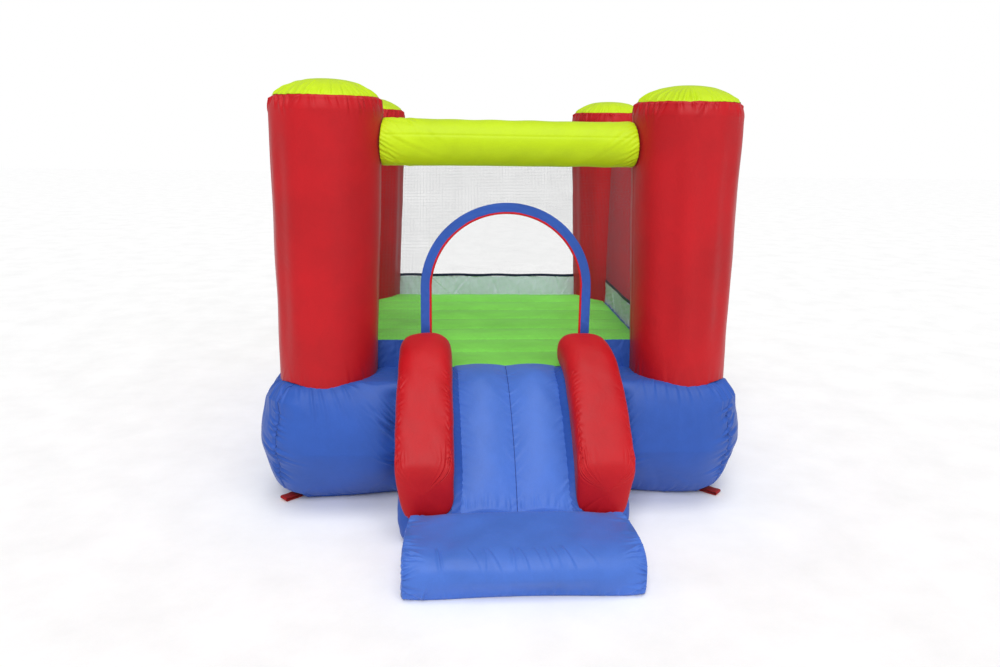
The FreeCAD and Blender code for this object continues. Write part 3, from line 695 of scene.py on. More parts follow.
def net_strands(name, origin, across, z_low, z_high, limits, hole, replaces, depth_axis, seed):
    """A net of fine cords: uprights and level cords on one sagging surface, cut round the doorway."""
    pitch, r, step = 0.0060, 0.00020, 12
    verts, faces = [], []
    def surface(u, z):
        sag = 0.006 * np.sin(u * 2.1 + seed) * np.sin((z - z_low) / (z_high - z_low) * math.pi)
        return origin + np.outer(u, across) + np.outer(z, UP) + np.outer(sag, depth_axis)
    def cord(u, z):
        open_run = ~hole(u, z)
        edges = np.flatnonzero(np.diff(np.r_[0, open_run.astype(int), 0]))
        for a, b in zip(edges[::2], edges[1::2]):
            if b - a < 2:
                continue
            pick = np.unique(np.linspace(a, b - 1, max(3, (b - a) // step + 1)).astype(int))
            p = surface(u[pick], z[pick])
            d = np.gradient(p, axis=0)
            d /= np.linalg.norm(d, axis=1, keepdims=True)
            s1 = np.cross(d, depth_axis)
            s1 /= np.linalg.norm(s1, axis=1, keepdims=True)
            first = len(verts)
            ring = [p + r * s1, p + r * depth_axis, p - r * s1, p - r * depth_axis]
            for k in range(len(p)):
                verts.extend(c[k] for c in ring)
            for k in range(len(p) - 1):
                o = first + 4 * k
                faces.extend([o + i, o + (i + 1) % 4, o + 4 + (i + 1) % 4, o + 4 + i] for i in range(4))
    low, high = limits(np.array([z_low, (z_low + z_high) / 2, z_high]))
    for u0 in np.arange(low.min() + 0.004, high.max(), pitch):
        z = np.linspace(z_low, z_high, 40)
        lo, hi = limits(z)
        inside = (u0 > lo) & (u0 < hi)
        if inside.sum() > 2:
            z = np.linspace(z[inside].min(), z[inside].max(), 120)
            cord(np.full(120, u0), z)
    for z0 in np.arange(z_low + pitch, z_high, pitch):
        lo, hi = limits(np.array([z0]))
        u = np.linspace(lo[0], hi[0], 220)
        cord(u, np.full(220, z0))
    obj = mesh_object(name, verts, faces, NET)
    dress(obj, "net_mesh", *replaces)
    return obj


def make_walls():
    left = cross_skirt("skirt_front_left_cloth", -0.7, -ARCH_R + 0.008, FRONT_WALL, 0.03, BLUE, 81)
    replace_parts(left, "skirt_front_left")
    right = cross_skirt("skirt_front_right_cloth", ARCH_R - 0.008, 0.7, FRONT_WALL, 0.03, BLUE, 83)
    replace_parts(right, "skirt_front_right")
    rear = cross_skirt("skirt_rear_cloth", -0.7, 0.7, REAR_WALL, 0.0, GREY, 85)
    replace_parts(rear, "skirt_rear")
    side_skirt("left", -1, 87)
    side_skirt("right", 1, 89)
    z = (SKIRT_TOP + BINDING_TOP) / 2
    x = float(wall_x(0.0, np.array([z]))[0])
    u = np.linspace(-1, 1, 60)
    path = np.stack([u * x, REAR_WALL + 0.0015 * np.sin(u * 19), z + 0.0015 * np.sin(u * 13)], -1)
    rear_tape = strip("binding_rear", path, (0, 1, 0), BINDING_TOP - SKIRT_TOP, 0.005, NAVY)
    dress(rear_tape, "navy_binding", "skirt_binding_rear")
    for hand, side in (("left", -1), ("right", 1)):
        a, b = (float(q[0]) for q in side_span(side, np.array([z])))
        y = np.linspace(a, b, 70)
        path = np.stack([side * SIDE_WALL + 0.002 * np.sin(y * 15), y, z + 0.002 * np.sin(y * 11)], -1)
        obj = strip(f"binding_{hand}", path, (1, 0, 0), BINDING_TOP - SKIRT_TOP, 0.005, NAVY)
        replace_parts(obj, f"skirt_binding_{hand}")
        top = NET_TOP + 0.0125
        a, b = (float(q[0]) for q in side_span(side, np.array([top])))
        y = np.linspace(a, b, 70)
        sag = 0.012 * (1 - ((y - (a + b) / 2) / ((b - a) / 2)) ** 2)
        path = np.stack([side * SIDE_WALL + 0 * y, y, top - sag], -1)
        obj = strip(f"net_hem_tape_{hand}", path, (1, 0, 0), 0.024, 0.005, NAVY)
        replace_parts(obj, f"net_hem_{hand}")
        net_strands(
            f"net_{hand}_mesh", np.array([side * SIDE_WALL, 0, 0.0]), np.array([0, 1.0, 0]), BINDING_TOP - 0.004,
            NET_TOP - 0.002, lambda zz, s=side: side_span(s, zz), lambda u, zz: np.zeros(len(u), bool),
            [f"net_{hand}"], np.array([1.0, 0, 0]), 1.0 + side)

    def arch_hole(u, zz):
        inside_leg = (zz < ARCH_SPRING) & (np.abs(u) < ARCH_R - HOLE_IN)
        return inside_leg | ((zz >= ARCH_SPRING) & (np.hypot(u, zz - ARCH_SPRING) < ARCH_R - HOLE_IN))

    def front_limits(zz):
        w = wall_x(0.03, zz)
        return -w, w

    def rear_limits(zz):
        w = wall_x(0.0, zz)
        return -w, w

    beam_bottom = BEAM_Z - BEAM_R
    net_strands("net_front_mesh", np.array([0, FRONT_WALL, 0.0]), np.array([1.0, 0, 0]), SKIRT_TOP - 0.004,
                beam_bottom + 0.008, front_limits, arch_hole, ["net_front"], np.array([0, 1.0, 0]), 0.3)
    net_strands("net_rear_mesh", np.array([0, REAR_WALL, 0.0]), np.array([1.0, 0, 0]), BINDING_TOP - 0.004,
                beam_bottom + 0.006, rear_limits, lambda u, zz: np.zeros(len(u), bool), ["net_rear"],
                np.array([0, 1.0, 0]), 2.0)
    make_arch()


def arch_path(radius, n=90):
    """Left foot, up, over and down to the right foot."""
    leg = np.linspace(FLOOR_Z + 0.002, ARCH_SPRING, 40)
    a = np.linspace(math.pi, 0, n)[1:-1]
    left = np.stack([np.full(40, -radius), leg], -1)
    top = np.stack([radius * np.cos(a), ARCH_SPRING + radius * np.sin(a)], -1)
    right = np.stack([np.full(40, radius), leg[::-1]], -1)
    return np.concatenate([left, top, right])


def make_arch():
    outer, inner = arch_path(ARCH_R), arch_path(ARCH_R - ARCH_BAND)
    n = len(outer)
    s = np.cumsum(np.r_[0, np.linalg.norm(np.diff(outer, axis=0), axis=1)])
    v = np.linspace(0, 1, 14)[None, :]
    flat = mix(outer[:, None], inner[:, None], v[..., None])
    deep = 0.0022 * noise(95, s[:, None], v, scales=(0.09, 1.2), octaves=3)
    deep = deep + puckers(96, s[:, None], v * ARCH_BAND, 0.0, float(s[-1]), 0.045, 0.0020, 0.006, 0.04, spread=1.5)
    P = np.stack([flat[..., 0], FRONT_WALL - 0.003 + deep, flat[..., 1]], -1)
    obj = thick(sheet_from("arch_band_cloth", P, BLUE), 0.003)
    dress(obj, "blue_fabric", "doorway_arch")
    mid = arch_path(ARCH_R - PIPING_IN)
    path = np.stack([mid[:, 0], np.full(n, FRONT_WALL), mid[:, 1]], -1)
    pipe = tube("arch_piping", path, 0.0058, PIPING, sides=12)
    dress(pipe, "red_piping", "doorway_piping")


# ---------------------------------------------------------------- slide and pad

SLIDE_TOP = FRONT_WALL


def bed_z(y):
    u = np.clip((y - SLIDE_FOOT) / (SLIDE_TOP - SLIDE_FOOT), 0, 1)
    return BED_FOOT_Z + (FLOOR_Z - BED_FOOT_Z) * np.sin(u * math.pi / 2)


def lean(y):
    """The slide drifts a little to the right towards its foot."""
    return 0.018 * (1 - ramp(SLIDE_FOOT, SLIDE_TOP, y))


def tuck_end(P):
    """Turn the foot of a slide panel down behind the landing pad."""
    rows = []
    for drop, ahead in ((0.006, 0.003), (0.018, 0.005), (0.040, 0.005)):
        row = P[:, -1:].copy()
        row[..., 1] -= ahead
        row[..., 2] = np.minimum(row[..., 2], BED_FOOT_Z + 0.008) - drop
        rows.append(row)
    return np.concatenate([P, *rows], axis=1)


def make_bed():
    """The sliding surface: two long air lobes with a drawn-in seam between them."""
    nx, ny = 190, 260
    q = np.linspace(-1, 1, nx)[:, None]
    v = np.linspace(0, 1, ny)[None, :]
    y = mix(SLIDE_TOP + 0.002, SLIDE_FOOT + 0.002, v)
    half = BED_SIDE
    x = q * half
    lobes = np.abs(np.sin(q * math.pi)) ** 0.95
    swell = mix(0.30, 1.0, ramp(0.0, 0.30, v)) * mix(1.0, 0.55, ramp(0.8, 1.0, v))
    up = 0.0040 + 0.034 * lobes * swell
    away_foot = (1 - v) * SLIDE_RUN
    up = up + puckers(101, x, away_foot, -0.22, 0.22, 0.017, 0.0055, 0.0048, 0.036) * ramp(0, 0.02, away_foot)
    up = up + puckers(102, x, v * SLIDE_RUN, -0.22, 0.22, 0.05, 0.003, 0.009, 0.06) * ramp(0.0, 0.08, v)
    for side in (-1, 1):
        away = np.abs(q - side) * half
        up = up + puckers(103 + side, v * SLIDE_RUN, away, 0.06, 0.64, 0.032, 0.0038, 0.007, 0.045, slant=0.7)
    for s0 in (-0.5, 0.5):
        away = np.abs(x)
        up = up + puckers(107, v * SLIDE_RUN, away, 0.1, 0.64, 0.045, 0.0022, 0.007, 0.04, slant=s0)
    up = up + 0.0022 * noise(105, x, y, scales=(0.2, 0.25), octaves=3)
    z = bed_z(y) + up
    P = tuck_end(np.stack([x + lean(y), y * np.ones_like(x), z], -1))
    # The seam along the groove is drawn in dark thread, darker than the bed cloth, so that it also paints the
    # shade at the bottom of the groove between the lobes.
    middle = P[nx // 2, 6:-3:3].copy()
    middle[:, 2] += 0.0006
    stitch = tube("slide_bed_seam_and_shade", middle, 0.0014, THREAD, sides=6)
    obj = sheet_from("slide_bed_skin", P, SLIDE_BLUE, flip=True)
    dress(obj, "slide_blue_fabric", "slide_bed", fill=0.85)


def make_cheek(hand, side):
    """The strip of blue cloth that stands between the bed's edge and the rail."""
    ny = 190
    v = np.linspace(0, 1, ny)[None, :]
    y = mix(SLIDE_TOP + 0.003, SLIDE_FOOT + 0.002, v)
    w = np.linspace(0, 1, 22)[:, None]
    x = mix(0.204, 0.252, w)
    rise = 0.070 * ramp(0.0, 0.22, v) * (1 - 0.85 * ramp(0.78, 0.98, v))
    z = bed_z(y) + 0.001 + w**0.8 * rise
    z = z + puckers(110 + side, v * SLIDE_RUN, w * 0.06, 0.05, 0.66, 0.020, 0.0042, 0.0055, 0.06, slant=0.6)
    P = tuck_end(np.stack([side * x + lean(y), y * np.ones_like(w), z], -1))
    cheek = sheet_from(f"slide_cheek_{hand}", P, BLUE, flip=side > 0)
    return cheek


def make_rail(hand, side):
    """An inflated side rail: domed at the doorway, with a blunt creased face at the foot."""
    na, ny = 240, 260
    a = np.linspace(0, 2 * math.pi, na, endpoint=False)[:, None]
    e = np.linspace(0, 1, ny)[None, :]
    v = 0.5 - 0.5 * np.cos(e * math.pi)
    v = mix(v, e, 0.25)
    y = mix(SLIDE_TOP - 0.0055, SLIDE_FOOT - 0.002, v)
    low = bed_z(y) + mix(0.018, -0.024, v)
    high = bed_z(y) + mix(0.172, 0.202, v)
    ca, sa = np.cos(a), np.sin(a)
    squareness = mix(0.74, 0.46, ramp(0.2, 1.0, v))
    sx = np.sign(ca) * np.abs(ca) ** squareness
    sz = np.sign(sa) * np.abs(sa) ** squareness
    top_round = np.clip(1 - (1 - np.clip(v / 0.15, 0, 1)) ** 2.4, 0, 1) ** (1 / 2.4)
    front_round = np.clip(1 - np.clip((v - 0.90) / 0.10, 0, 1) ** 5.5, 0, 1) ** (1 / 5.0)
    blunt = top_round * front_round
    half_w = mix(0.106, 0.120, v) * blunt
    half_h = (high - low) / 2
    upper = np.where(sa > 0, blunt, front_round * mix(0.4, 1.0, top_round))
    foot_in = ramp(0.55, 1.0, v)
    taper = np.where(ca > 0, 1 - 0.36 * foot_in * (0.5 - 0.5 * sz), 1.0)
    x = (BED_HALF + RAIL_HIGH.x) / 2 + mix(0.0, 0.010, v) + half_w * sx * taper
    inward = 0.022 * (1 - ramp(0.0, 0.35, v)) * (side > 0)
    sag = 0.020 * foot_in * np.clip(sx, 0, 1) * (sz < 0) * np.abs(sz)
    z = (low + high) / 2 + half_h * sz * upper - sag
    y = y + np.zeros_like(a)
    P = np.stack([side * (x - inward) + lean(y) * (1 if side > 0 else 0.3), y, z], -1)
    N = normals(P, loop_u=True)
    centre = P.mean(0, keepdims=True)
    if np.mean(np.sum(N * (P - centre), -1)) < 0:
        N = -N
    around = a * RAIL_BEND
    along = v * SLIDE_RUN
    D = 0.0030 * noise(120 + side, P[..., 0], P[..., 1], P[..., 2], scales=(0.2, 0.3, 0.3), octaves=2)
    brow = np.abs(v - 0.955) * 0.53
    for centre_angle in (0.75, 2.35):
        patch = np.exp(-(((a - centre_angle) / 0.42) ** 2))
        D = D + patch * puckers(122 + side, around, brow, 0.0, 0.82, 0.013, 0.0050, 0.0042, 0.026, spread=0.8)
        D = D - 0.006 * patch * np.exp(-((brow / 0.012) ** 2))
    for corner in (0.75, 2.35):
        d = np.abs((a - corner) * RAIL_BEND)
        D = D + puckers(124 + side + int(corner), along, d, 0.30, 0.63, 0.016, 0.0040, 0.0048, 0.026, spread=1.0)
    D = D + puckers(127 + side, along, np.abs(a - 5.3) * RAIL_BEND, 0.05, 0.64, 0.022, 0.0042, 0.0055, 0.05)
    D = D + puckers(129 + side, along, np.abs(a - 4.1) * RAIL_BEND, 0.05, 0.64, 0.022, 0.0042, 0.0055, 0.05)
    P = P + (D * np.minimum(1, blunt * 1.6))[..., None] * N
    faces = grid_faces(na, ny, True, False).tolist()
    obj = mesh_object(f"rail_{hand}_skin", P, faces if side > 0 else [f[::-1] for f in faces], RED)
    dress(obj, "red_fabric", f"slide_rail_{hand}", fill=0.95)


def make_slide_body():
    """The slide's air body under the bed and rails: its two sides and its front, down to the ground."""
    n_side, n_turn, n_front, nz = 90, 20, 90, 60
    side_x = RAIL_HIGH.x - 0.012
    r = 0.045
    cols = []
    for k in range(n_side):
        cols.append((-side_x, mix(SLIDE_TOP - 0.01, SLIDE_FOOT + r, k / n_side), -1, 0))
    for k in range(n_turn):
        t = math.pi + math.pi / 2 * k / n_turn
        cols.append((-side_x + r + r * math.cos(t), SLIDE_FOOT + r + r * math.sin(t), math.cos(t), math.sin(t)))
    for k in range(n_front):
        cols.append((mix(-side_x + r, side_x - r, k / n_front), SLIDE_FOOT, 0, -1))
    for k in range(n_turn):
        t = 1.5 * math.pi + math.pi / 2 * k / n_turn
        cols.append((side_x - r + r * math.cos(t), SLIDE_FOOT + r + r * math.sin(t), math.cos(t), math.sin(t)))
    for k in range(n_side + 1):
        cols.append((side_x, mix(SLIDE_FOOT + r, SLIDE_TOP - 0.01, k / n_side), 1, 0))
    cols = np.array(cols)
    cx, cy, nx, ny = (cols[:, k][:, None] for k in range(4))
    w = np.linspace(0, 1, nz)[None, :]
    z = w * (bed_z(cy) + 0.030 * np.abs(nx) + 0.006)
    run = np.cumsum(np.r_[0, np.linalg.norm(np.diff(cols[:, :2], axis=0), axis=1)])[:, None]
    out = -0.012 + 0.026 * np.sin(w * math.pi) ** 0.7 * np.abs(nx) ** 0.5
    out = out + 0.0022 * noise(141, run, z, scales=(0.2, 0.2), octaves=3)
    out = out + puckers(142, run, z, 0.0, 3.0, 0.035, 0.0042, 0.006, 0.05, spread=1.0) * ramp(0, 0.02, z)
    out = out + puckers(143, run, (1 - w) * 0.25, 0.0, 3.0, 0.030, 0.0042, 0.006, 0.05, spread=1.0)
    shift = lean(cy) * np.where(cx > 0, 1.0, 0.3)
    P = np.stack([cx + nx * out + shift, cy + ny * np.minimum(out, 0), z], -1)
    obj = sheet_from("slide_body_skin", P, BLUE)
    dress(obj, "blue_fabric", "slide_body", fill=0.85)


def make_deck():
    """The top of the air body, which closes it under the bed and the rails."""
    x = np.linspace(-1, 1, 60)[:, None]
    y = np.linspace(SLIDE_TOP + 0.004, SLIDE_FOOT + 0.001, 90)[None, :]
    z = bed_z(y) - 0.003 + 0.0015 * noise(145, x, y, scales=(0.5, 0.3), octaves=2)
    half = RAIL_HIGH.x - 0.020
    P = np.stack([half * x + lean(y), y * np.ones_like(x), z], -1)
    deck = sheet_from("slide_deck_skin", P, BLUE, flip=True)


def make_slide():
    make_bed()
    make_deck()
    for hand, side in (("left", -1), ("right", 1)):
        make_rail(hand, side)
        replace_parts(make_cheek(hand, side), f"slide_riser_{hand}")
    make_slide_body()
    make_pad()


def make_pad():
    """The landing cushion: one rounded section from side to side, closed by sewn end panels."""
    nx, na = 280, 240
    low, high = np.array(PAD_LOW), np.array(PAD_HIGH)
    mid_x, half_x = 0.015, high[0] - 0.004
    mid_y, half_y = (low[1] + high[1]) / 2 + 0.003, (high[1] - low[1]) / 2 - 0.002
    mid_z, half_z = 0.066, high[2] - 0.068
    u = np.sin(np.linspace(-1, 1, nx) * math.pi / 2 * 0.97)[:, None]
    u = u / u.max()
    a = np.radians(np.linspace(-46, 226, na))[None, :]
    ca, sa = np.cos(a), np.sin(a)
    sy = np.sign(ca) * np.abs(ca) ** np.where(ca > 0, 0.40, 0.56)
    sz = np.sign(sa) * np.abs(sa) ** 0.66
    gap = (1 - np.abs(u)) * half_x
    pinch = 1 - 0.085 * np.exp(-gap / 0.045)
    y = mid_y + half_y * sy * np.where(ca > 0, 1.0, pinch)
    z = mid_z + half_z * sz * pinch * np.where(sa > 0, 1.0, 1.12)
    front_low = np.clip(-sy, 0, 1) * ramp(0.0, 1.0, (mid_z + 0.02 - z) / 0.07)
    y = y + 0.030 * front_low * (1 - u**2) - 0.008 * np.clip(-sy, 0, 1) * (1 - np.abs(u) ** 4)
    z = z - 0.014 * np.abs(u) ** 5 * np.clip(sy, 0, 1) * (sa > 0)
    back = (y - mid_y) / half_y
    x = mid_x + half_x * u * mix(1.0, 0.962, np.clip((back + 1) / 2, 0, 1)) * (1 - 0.012 * np.abs(back) ** 3)
    P = np.stack([x, y, np.maximum(z, 0.0)], -1)
    N = normals(P)
    if N[nx // 2, na // 2, 2] < 0:
        N = -N
    run = np.cumsum(np.r_[0, np.linalg.norm(np.diff(P[nx // 2], axis=0), axis=1)])[None, :]
    total = float(run[0, -1])
    D = 0.0040 * noise(151, x, run, scales=(0.35, 0.30), octaves=3)
    D += puckers(152, run, gap, 0.0, total, 0.019, 0.0085, 0.0050, 0.050, spread=1.0)
    D += puckers(153, x, run - 0.06, -0.43, 0.43, 0.026, 0.0060, 0.0055, 0.050, spread=0.9) * ramp(0.05, 0.07, run)
    D += puckers(154, x, total - run, -0.43, 0.43, 0.024, 0.0070, 0.0055, 0.055, spread=1.0)
    brow = run - 0.66 * total
    for k, (tilt, gap_s) in enumerate(((0.62, 0.075), (0.18, 0.13))):
        long_folds = puckers(155 + k, x, brow, -0.30, 0.24, gap_s, 0.0062, 0.0042, 0.095, slant=tilt, spread=0.5)
        D += long_folds * ramp(-0.012, 0.012, brow)
    D = D * ramp(0.0, 0.006, gap) * ramp(0.0, 0.02, P[..., 2])
    P = P + D[..., None] * N
    P[..., 2] = np.maximum(P[..., 2], 0.0)
    ends = []
    for edge, out in ((0, -1), (-1, 1)):
        ring = P[edge]
        middle = np.array([ring[0, 0], mid_y, 0.0])
        rows = []
        for t in np.linspace(1, 0, 14)[1:]:
            row = middle + (ring - middle) * max(t, 0.02)
            row[:, 0] = ring[:, 0] * t + middle[0] * (1 - t) + out * 0.016 * (1 - t**2.4)
            inset = (1 - t) * 0.12
            row[:, 0] += out * puckers(160 + edge, run[0], inset, 0.0, total, 0.024, 0.004, 0.005, 0.05)
            row[:, 2] = np.maximum(row[:, 2], 0.0)
            rows.append(row)
        ends.append(np.stack(rows, 0))
    P = np.concatenate([ends[0][::-1], P, ends[1]], axis=0)
    obj = sheet_from("pad_skin", P, SLIDE_BLUE, loop_v=True, flip=True)
    dress(obj, "slide_blue_fabric", "landing_pad", fill=0.85)


# ---------------------------------------------------------------- small parts

def make_loops():
    """Webbing loops lying out from the base's corners, each a folded band with a stitched root."""
    for body, pivot, out in loop_joints():
        wide = np.cross(UP, out)
        length, r = LOOP_LENGTH, LOOP_BEND
        n = 40
        bottom = np.stack([np.linspace(0.0, length - r, n), np.full(n, 0.0)], -1)
        a = np.linspace(-math.pi / 2, math.pi / 2, 16)[1:-1]
        bend = np.stack([length - r + (r - 0.0015) * np.cos(a), (r - 0.0015) * (1 + np.sin(a))], -1)
        d = np.linspace(length - r, 0.0, n)
        topz = 2 * (r - 0.0015) * ramp(-0.01, 0.03, d)
        top = np.stack([d, topz + 0.0008 * np.sin(d * 90)], -1)
        prof = np.concatenate([bottom, bend, top])
        w = np.linspace(-LOOP_HALF, LOOP_HALF, 14)[None, :]
        base = np.array([pivot[0], pivot[1], LOOP_CLOTH])
        P = base + prof[:, 0][:, None, None] * out + w[..., None] * wide + prof[:, 1][:, None, None] * UP
        obj = thick(sheet_from(f"{body}_webbing", P, WEBBING, body=body), LOOP_CLOTH)
        dress(obj, "red_webbing", body)


def band(origin, along, wide, rise, length, width, thickness, wave=0.0, seed=0):
    """Points and faces of a flat tape: a closed bar with rounded edges, gently waved over its width."""
    n, m = max(12, int(length / 0.003)), 16
    a = np.linspace(0, 2 * math.pi, m, endpoint=False)
    across = np.sign(np.cos(a)) * np.abs(np.cos(a)) ** 0.35 * width / 2
    up = np.sign(np.sin(a)) * np.abs(np.sin(a)) ** 0.6 * thickness / 2
    d = np.linspace(0, length, n)
    sway = wave * noise(seed, d, scales=(0.05,), octaves=2)
    sideways = (across[None, :] + sway[:, None])[..., None]
    P = origin + d[:, None, None] * along + sideways * wide + up[None, :, None] * rise
    return P.reshape(-1, 3), bar_faces(n, m)


def joined(name, parts, material):
    """One object from several (points, faces) parts."""
    verts, faces = [], []
    for points, part_faces in parts:
        faces.extend([[i + len(verts) for i in f] for f in part_faces])
        verts.extend(points.tolist())
    return mesh_object(name, verts, faces, material)


def stitches(start, end, wide, rise, count):
    """A row of short thread bars from start to end, lying on a tape."""
    along = end - start
    step = np.linalg.norm(along) / count
    along = along / np.linalg.norm(along)
    return [band(start + along * step * k, along, wide, rise, step * 0.62, 0.0007, 0.0006) for k in range(count)]


def make_tabs():
    """The webbing tabs that hold the stake loops, box-stitched to the base's foot."""
    low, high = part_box("anchor_tabs")
    mid_z, thickness = (low.z + high.z) / 2, high.z - low.z
    inner, outer = -0.038, -0.0045
    parts = []
    for k, (_, pivot, out) in enumerate(loop_joints()):
        wide = np.cross(UP, out)
        root = np.array([pivot[0], pivot[1], mid_z])
        start, length = root + inner * out, outer - inner
        parts.append(band(start, out, wide, UP, length, 2 * LOOP_HALF, thickness, 0.0004, 190 + k))
        top = root + (thickness / 2) * UP
        a, b = inner + 0.005, outer - 0.004
        corners = [top + u * out + w * wide for u, w in ((a, -0.017), (b, -0.017), (b, 0.017), (a, 0.017))]
        for i in range(4):
            start, end = corners[i], corners[(i + 1) % 4]
            side = np.cross(UP, (end - start) / np.linalg.norm(end - start))
            parts.extend(stitches(start, end, side, UP, 9))
    obj = joined("anchor_tab_webbing", parts, WEBBING)
    dress(obj, "red_webbing", "anchor_tabs")


def make_bottom(rim):
    """The bottom sheet inside the foot's binding, lying on the ground with shallow creases."""
    low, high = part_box("base_bottom_sheet")
    middle = np.array([0.0, (low.y + high.y) / 2, 0.0])
    t = np.linspace(1.0, 0.01, 60)[None, :, None]
    P = middle + (rim[::4, None] - middle) * t
    creases = 0.0005 * noise(181, P[..., 0], P[..., 1], scales=(0.3, 0.3), octaves=3)
    P[..., 2] = 0.0010 + np.clip(creases, -0.0008, 0.0008) * ramp(0.0, 0.1, 1 - t[..., 0])
    faces = grid_faces(P.shape[0], P.shape[1], True, False).tolist()
    faces.append([i * P.shape[1] + P.shape[1] - 1 for i in range(P.shape[0])])
    obj = mesh_object("base_bottom_skin", P, faces, BLUE)
    dress(obj, "blue_fabric", "base_bottom_sheet", fill=0.9)


def make_zip():
    """The zip's cloth patch, turned in at its edges, and its two stitched tapes."""
    low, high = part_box("zip_patch")
    nu, nv = 260, 90
    u = np.sin(np.linspace(-1, 1, nu) * math.pi / 2)[:, None] * np.ones((1, nv))
    v = np.sin(np.linspace(-1, 1, nv) * math.pi / 2)[None, :] * np.ones((nu, 1))
    x = (low.x + high.x) / 2 + u * (high.x - low.x) / 2
    z = (low.z + high.z) / 2 + v * (high.z - low.z) / 2
    edge = np.minimum(np.minimum(x - low.x, high.x - x), np.minimum(z - low.z, high.z - z))
    back = (high.y - low.y) * (1 - np.clip(edge / 0.008, 0, 1)) ** 2.2
    off_tape = ramp(0.018, 0.026, np.abs(z - (low.z + high.z) / 2))
    folds = puckers(183, x, edge, low.x, high.x, 0.016, 0.0016, 0.0040, 0.020, spread=1.0)
    folds = folds + 0.0010 * noise(184, x, z, scales=(0.06, 0.05), octaves=3)
    y = high.y - 0.0002 - back - np.clip(0.0010 + folds, 0.0, 0.0030) * off_tape
    patch = thick(sheet_from("zip_patch_cloth", np.stack([x, y, z], -1), BLUE), 0.0008, offset=-1.0)
    dress(patch, "blue_fabric", "zip_patch")
    low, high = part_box("zip_tapes")
    teeth_low, teeth_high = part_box("zip_teeth")
    along, rise = np.array([1.0, 0, 0]), np.array([0, 1.0, 0])
    tall = high.z - teeth_high.z
    parts = []
    for k, (mid_z, sign) in enumerate((((high.z + teeth_high.z) / 2, 1), ((low.z + teeth_low.z) / 2, -1))):
        origin = np.array([low.x, (low.y + high.y) / 2, mid_z])
        parts.append(band(origin, along, UP, rise, high.x - low.x, tall - 0.0006, high.y - low.y, 0.0002, 195 + k))
        for reach in (0.0018, 0.0048):
            start = np.array([low.x + 0.003, high.y, mid_z + sign * reach])
            end = np.array([high.x - 0.003, high.y, mid_z + sign * reach])
            parts.extend(stitches(start, end, UP, rise, 96))
    obj = joined("zip_tape_cloth", parts, BLACK)
    dress(obj, "black_nylon", "zip_tapes")


def make_sleeve():
    """The air inlet sleeve: a soft tube, creased near the strap and frilled at its mouth."""
    na, ny = 120, 120
    centre = (np.array(SLEEVE_LOW) + np.array(SLEEVE_HIGH)) / 2
    r0 = (SLEEVE_HIGH.x - SLEEVE_LOW.x) / 2 - 0.0015
    a = np.linspace(0, 2 * math.pi, na, endpoint=False)[:, None]
    y = np.linspace(SLEEVE_LOW.y + 0.01, SLEEVE_HIGH.y, ny)[None, :]
    strap_low, strap_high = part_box("inlet_strap")
    strap_y = (strap_low.y + strap_high.y) / 2
    s = a * r0
    away = np.abs(y - strap_y)
    D = puckers(171, s, away, 0.0, 0.5, 0.022, 0.0026, 0.0055, 0.06, spread=0.6)
    D = D + 0.0025 * noise(172, np.cos(a) * 0.1, np.sin(a) * 0.1, y, scales=(0.1, 0.1, 0.1), octaves=3)
    D = D - 0.0045 * np.exp(-(away / 0.022) ** 2)
    r = r0 - 0.002 + D
    P = np.stack([centre[0] + r * np.cos(a), y * np.ones_like(a), centre[2] + r * np.sin(a)], -1)
    obj = thick(sheet_from("sleeve_cloth", P, BLUE, loop_u=True), 0.0018)
    dress(obj, "blue_fabric", "inlet_sleeve")
    q = np.linspace(0, 2 * math.pi, 72, endpoint=False)
    mid = np.array([centre[0], strap_y, centre[2]])
    ring = []
    for t in q:
        ring.append(mid + (r0 + 0.0012) * np.array([math.cos(t), 0, math.sin(t)]))
    ring = np.array(ring)
    w = np.linspace(-0.0145, 0.0145, 8)
    P = ring[:, None] + w[None, :, None] * np.array([0, 1.0, 0])
    strap = thick(sheet_from("sleeve_strap", P, BLACK, loop_u=True), 0.0024)
    dress(strap, "black_nylon", "inlet_strap")


# ---------------------------------------------------------------- build

make_base_trim(make_base())
seed = 200
for end, y0 in (("front", FRONT_POST), ("rear", REAR_POST)):
    for hand, side in (("left", -1), ("right", 1)):
        make_post(end, hand, side, y0, seed)
        seed += 10
    make_beam(end, y0, seed)
    seed += 20
make_floor()
make_walls()
make_slide()
make_loops()
make_tabs()
make_zip()
make_sleeve()
dress_hidden()

# ---------------------------------------------------------------- stage, light and camera

mesh = bpy.data.meshes.new("ground")
mesh.from_pydata([(-30, -30, -0.002), (30, -30, -0.002), (30, 30, -0.002), (-30, 30, -0.002)], [], [(0, 1, 2, 3)])
ground = bpy.data.objects.new("ground", mesh)
bpy.context.collection.objects.link(ground)
paper = fabric("ground_paper", (250, 250, 250), dark=0.97, rough=0.9, sheen=0.0, bump=0.0, spec=0.1)
mesh.materials.append(paper)

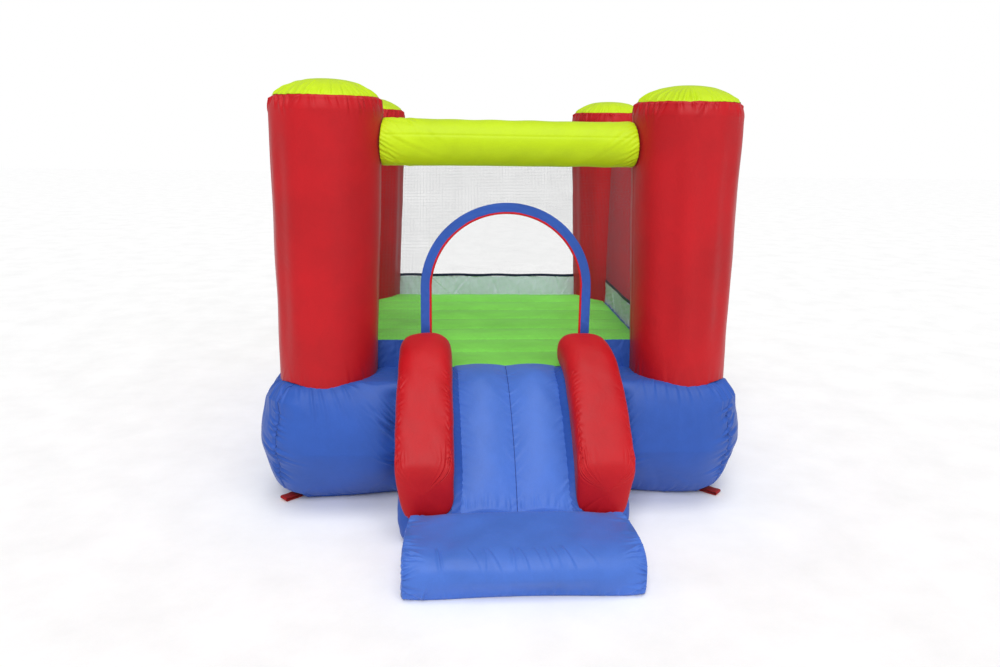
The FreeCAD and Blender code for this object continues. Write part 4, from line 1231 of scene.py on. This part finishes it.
world = bpy.data.worlds.new("sky")
bpy.context.scene.world = world
world.use_nodes = True
sky = world.node_tree
soft = sky.nodes["Background"]
soft.inputs[0].default_value = (1, 1, 1, 1)
soft.inputs[1].default_value = 0.36
plain = node(sky, "ShaderNodeBackground", Strength=1.0)
plain.inputs[0].default_value = (1, 1, 1, 1)
choice = sky.nodes.new("ShaderNodeMixShader")
ray = sky.nodes.new("ShaderNodeLightPath")
sky.links.new(ray.outputs["Is Camera Ray"], choice.inputs[0])
sky.links.new(soft.outputs[0], choice.inputs[1])
sky.links.new(plain.outputs[0], choice.inputs[2])
sky.links.new(choice.outputs[0], sky.nodes["World Output"].inputs[0])


def soft_sun(name, azimuth, elevation, strength, spread):
    """A wide, soft light from azimuth (degrees from the front, positive to the right) and elevation."""
    data = bpy.data.lights.new(name, "SUN")
    data.energy = strength * math.pi
    data.angle = math.radians(spread)
    obj = bpy.data.objects.new(name, data)
    bpy.context.collection.objects.link(obj)
    a, e = math.radians(azimuth), math.radians(elevation)
    source = Vector((math.sin(a) * math.cos(e), -math.cos(a) * math.cos(e), math.sin(e)))
    obj.rotation_euler = source.to_track_quat("Z", "Y").to_euler()


soft_sun("key", -12, 42, 0.46, 30)
soft_sun("fill", 38, 20, 0.14, 40)
soft_sun("top", 10, 78, 0.34, 35)

scene = bpy.context.scene
scene.view_settings.view_transform = "Standard"
cam = bpy.data.cameras.new("camera")
cam.lens = CAMERA_LENS
cam.sensor_width = 36.0
camera = bpy.data.objects.new("camera", cam)
bpy.context.collection.objects.link(camera)
scene.camera = camera
yaw, pitch, roll = 0.067, 0.242, 0.015
forward = Vector((math.sin(yaw) * math.cos(pitch), math.cos(yaw) * math.cos(pitch), -math.sin(pitch)))
right = Vector((math.cos(yaw), -math.sin(yaw), 0))
above = right.cross(forward)
r2 = right * math.cos(roll) + above * math.sin(roll)
u2 = -right * math.sin(roll) + above * math.cos(roll)
camera.matrix_world = Matrix((
    (r2.x, u2.x, -forward.x, CAMERA_X),
    (r2.y, u2.y, -forward.y, FRONT_POST - CAMERA_BACK),
    (r2.z, u2.z, -forward.z, CAMERA_Z),
    (0, 0, 0, 1),
))
bpy.context.view_layer.update()
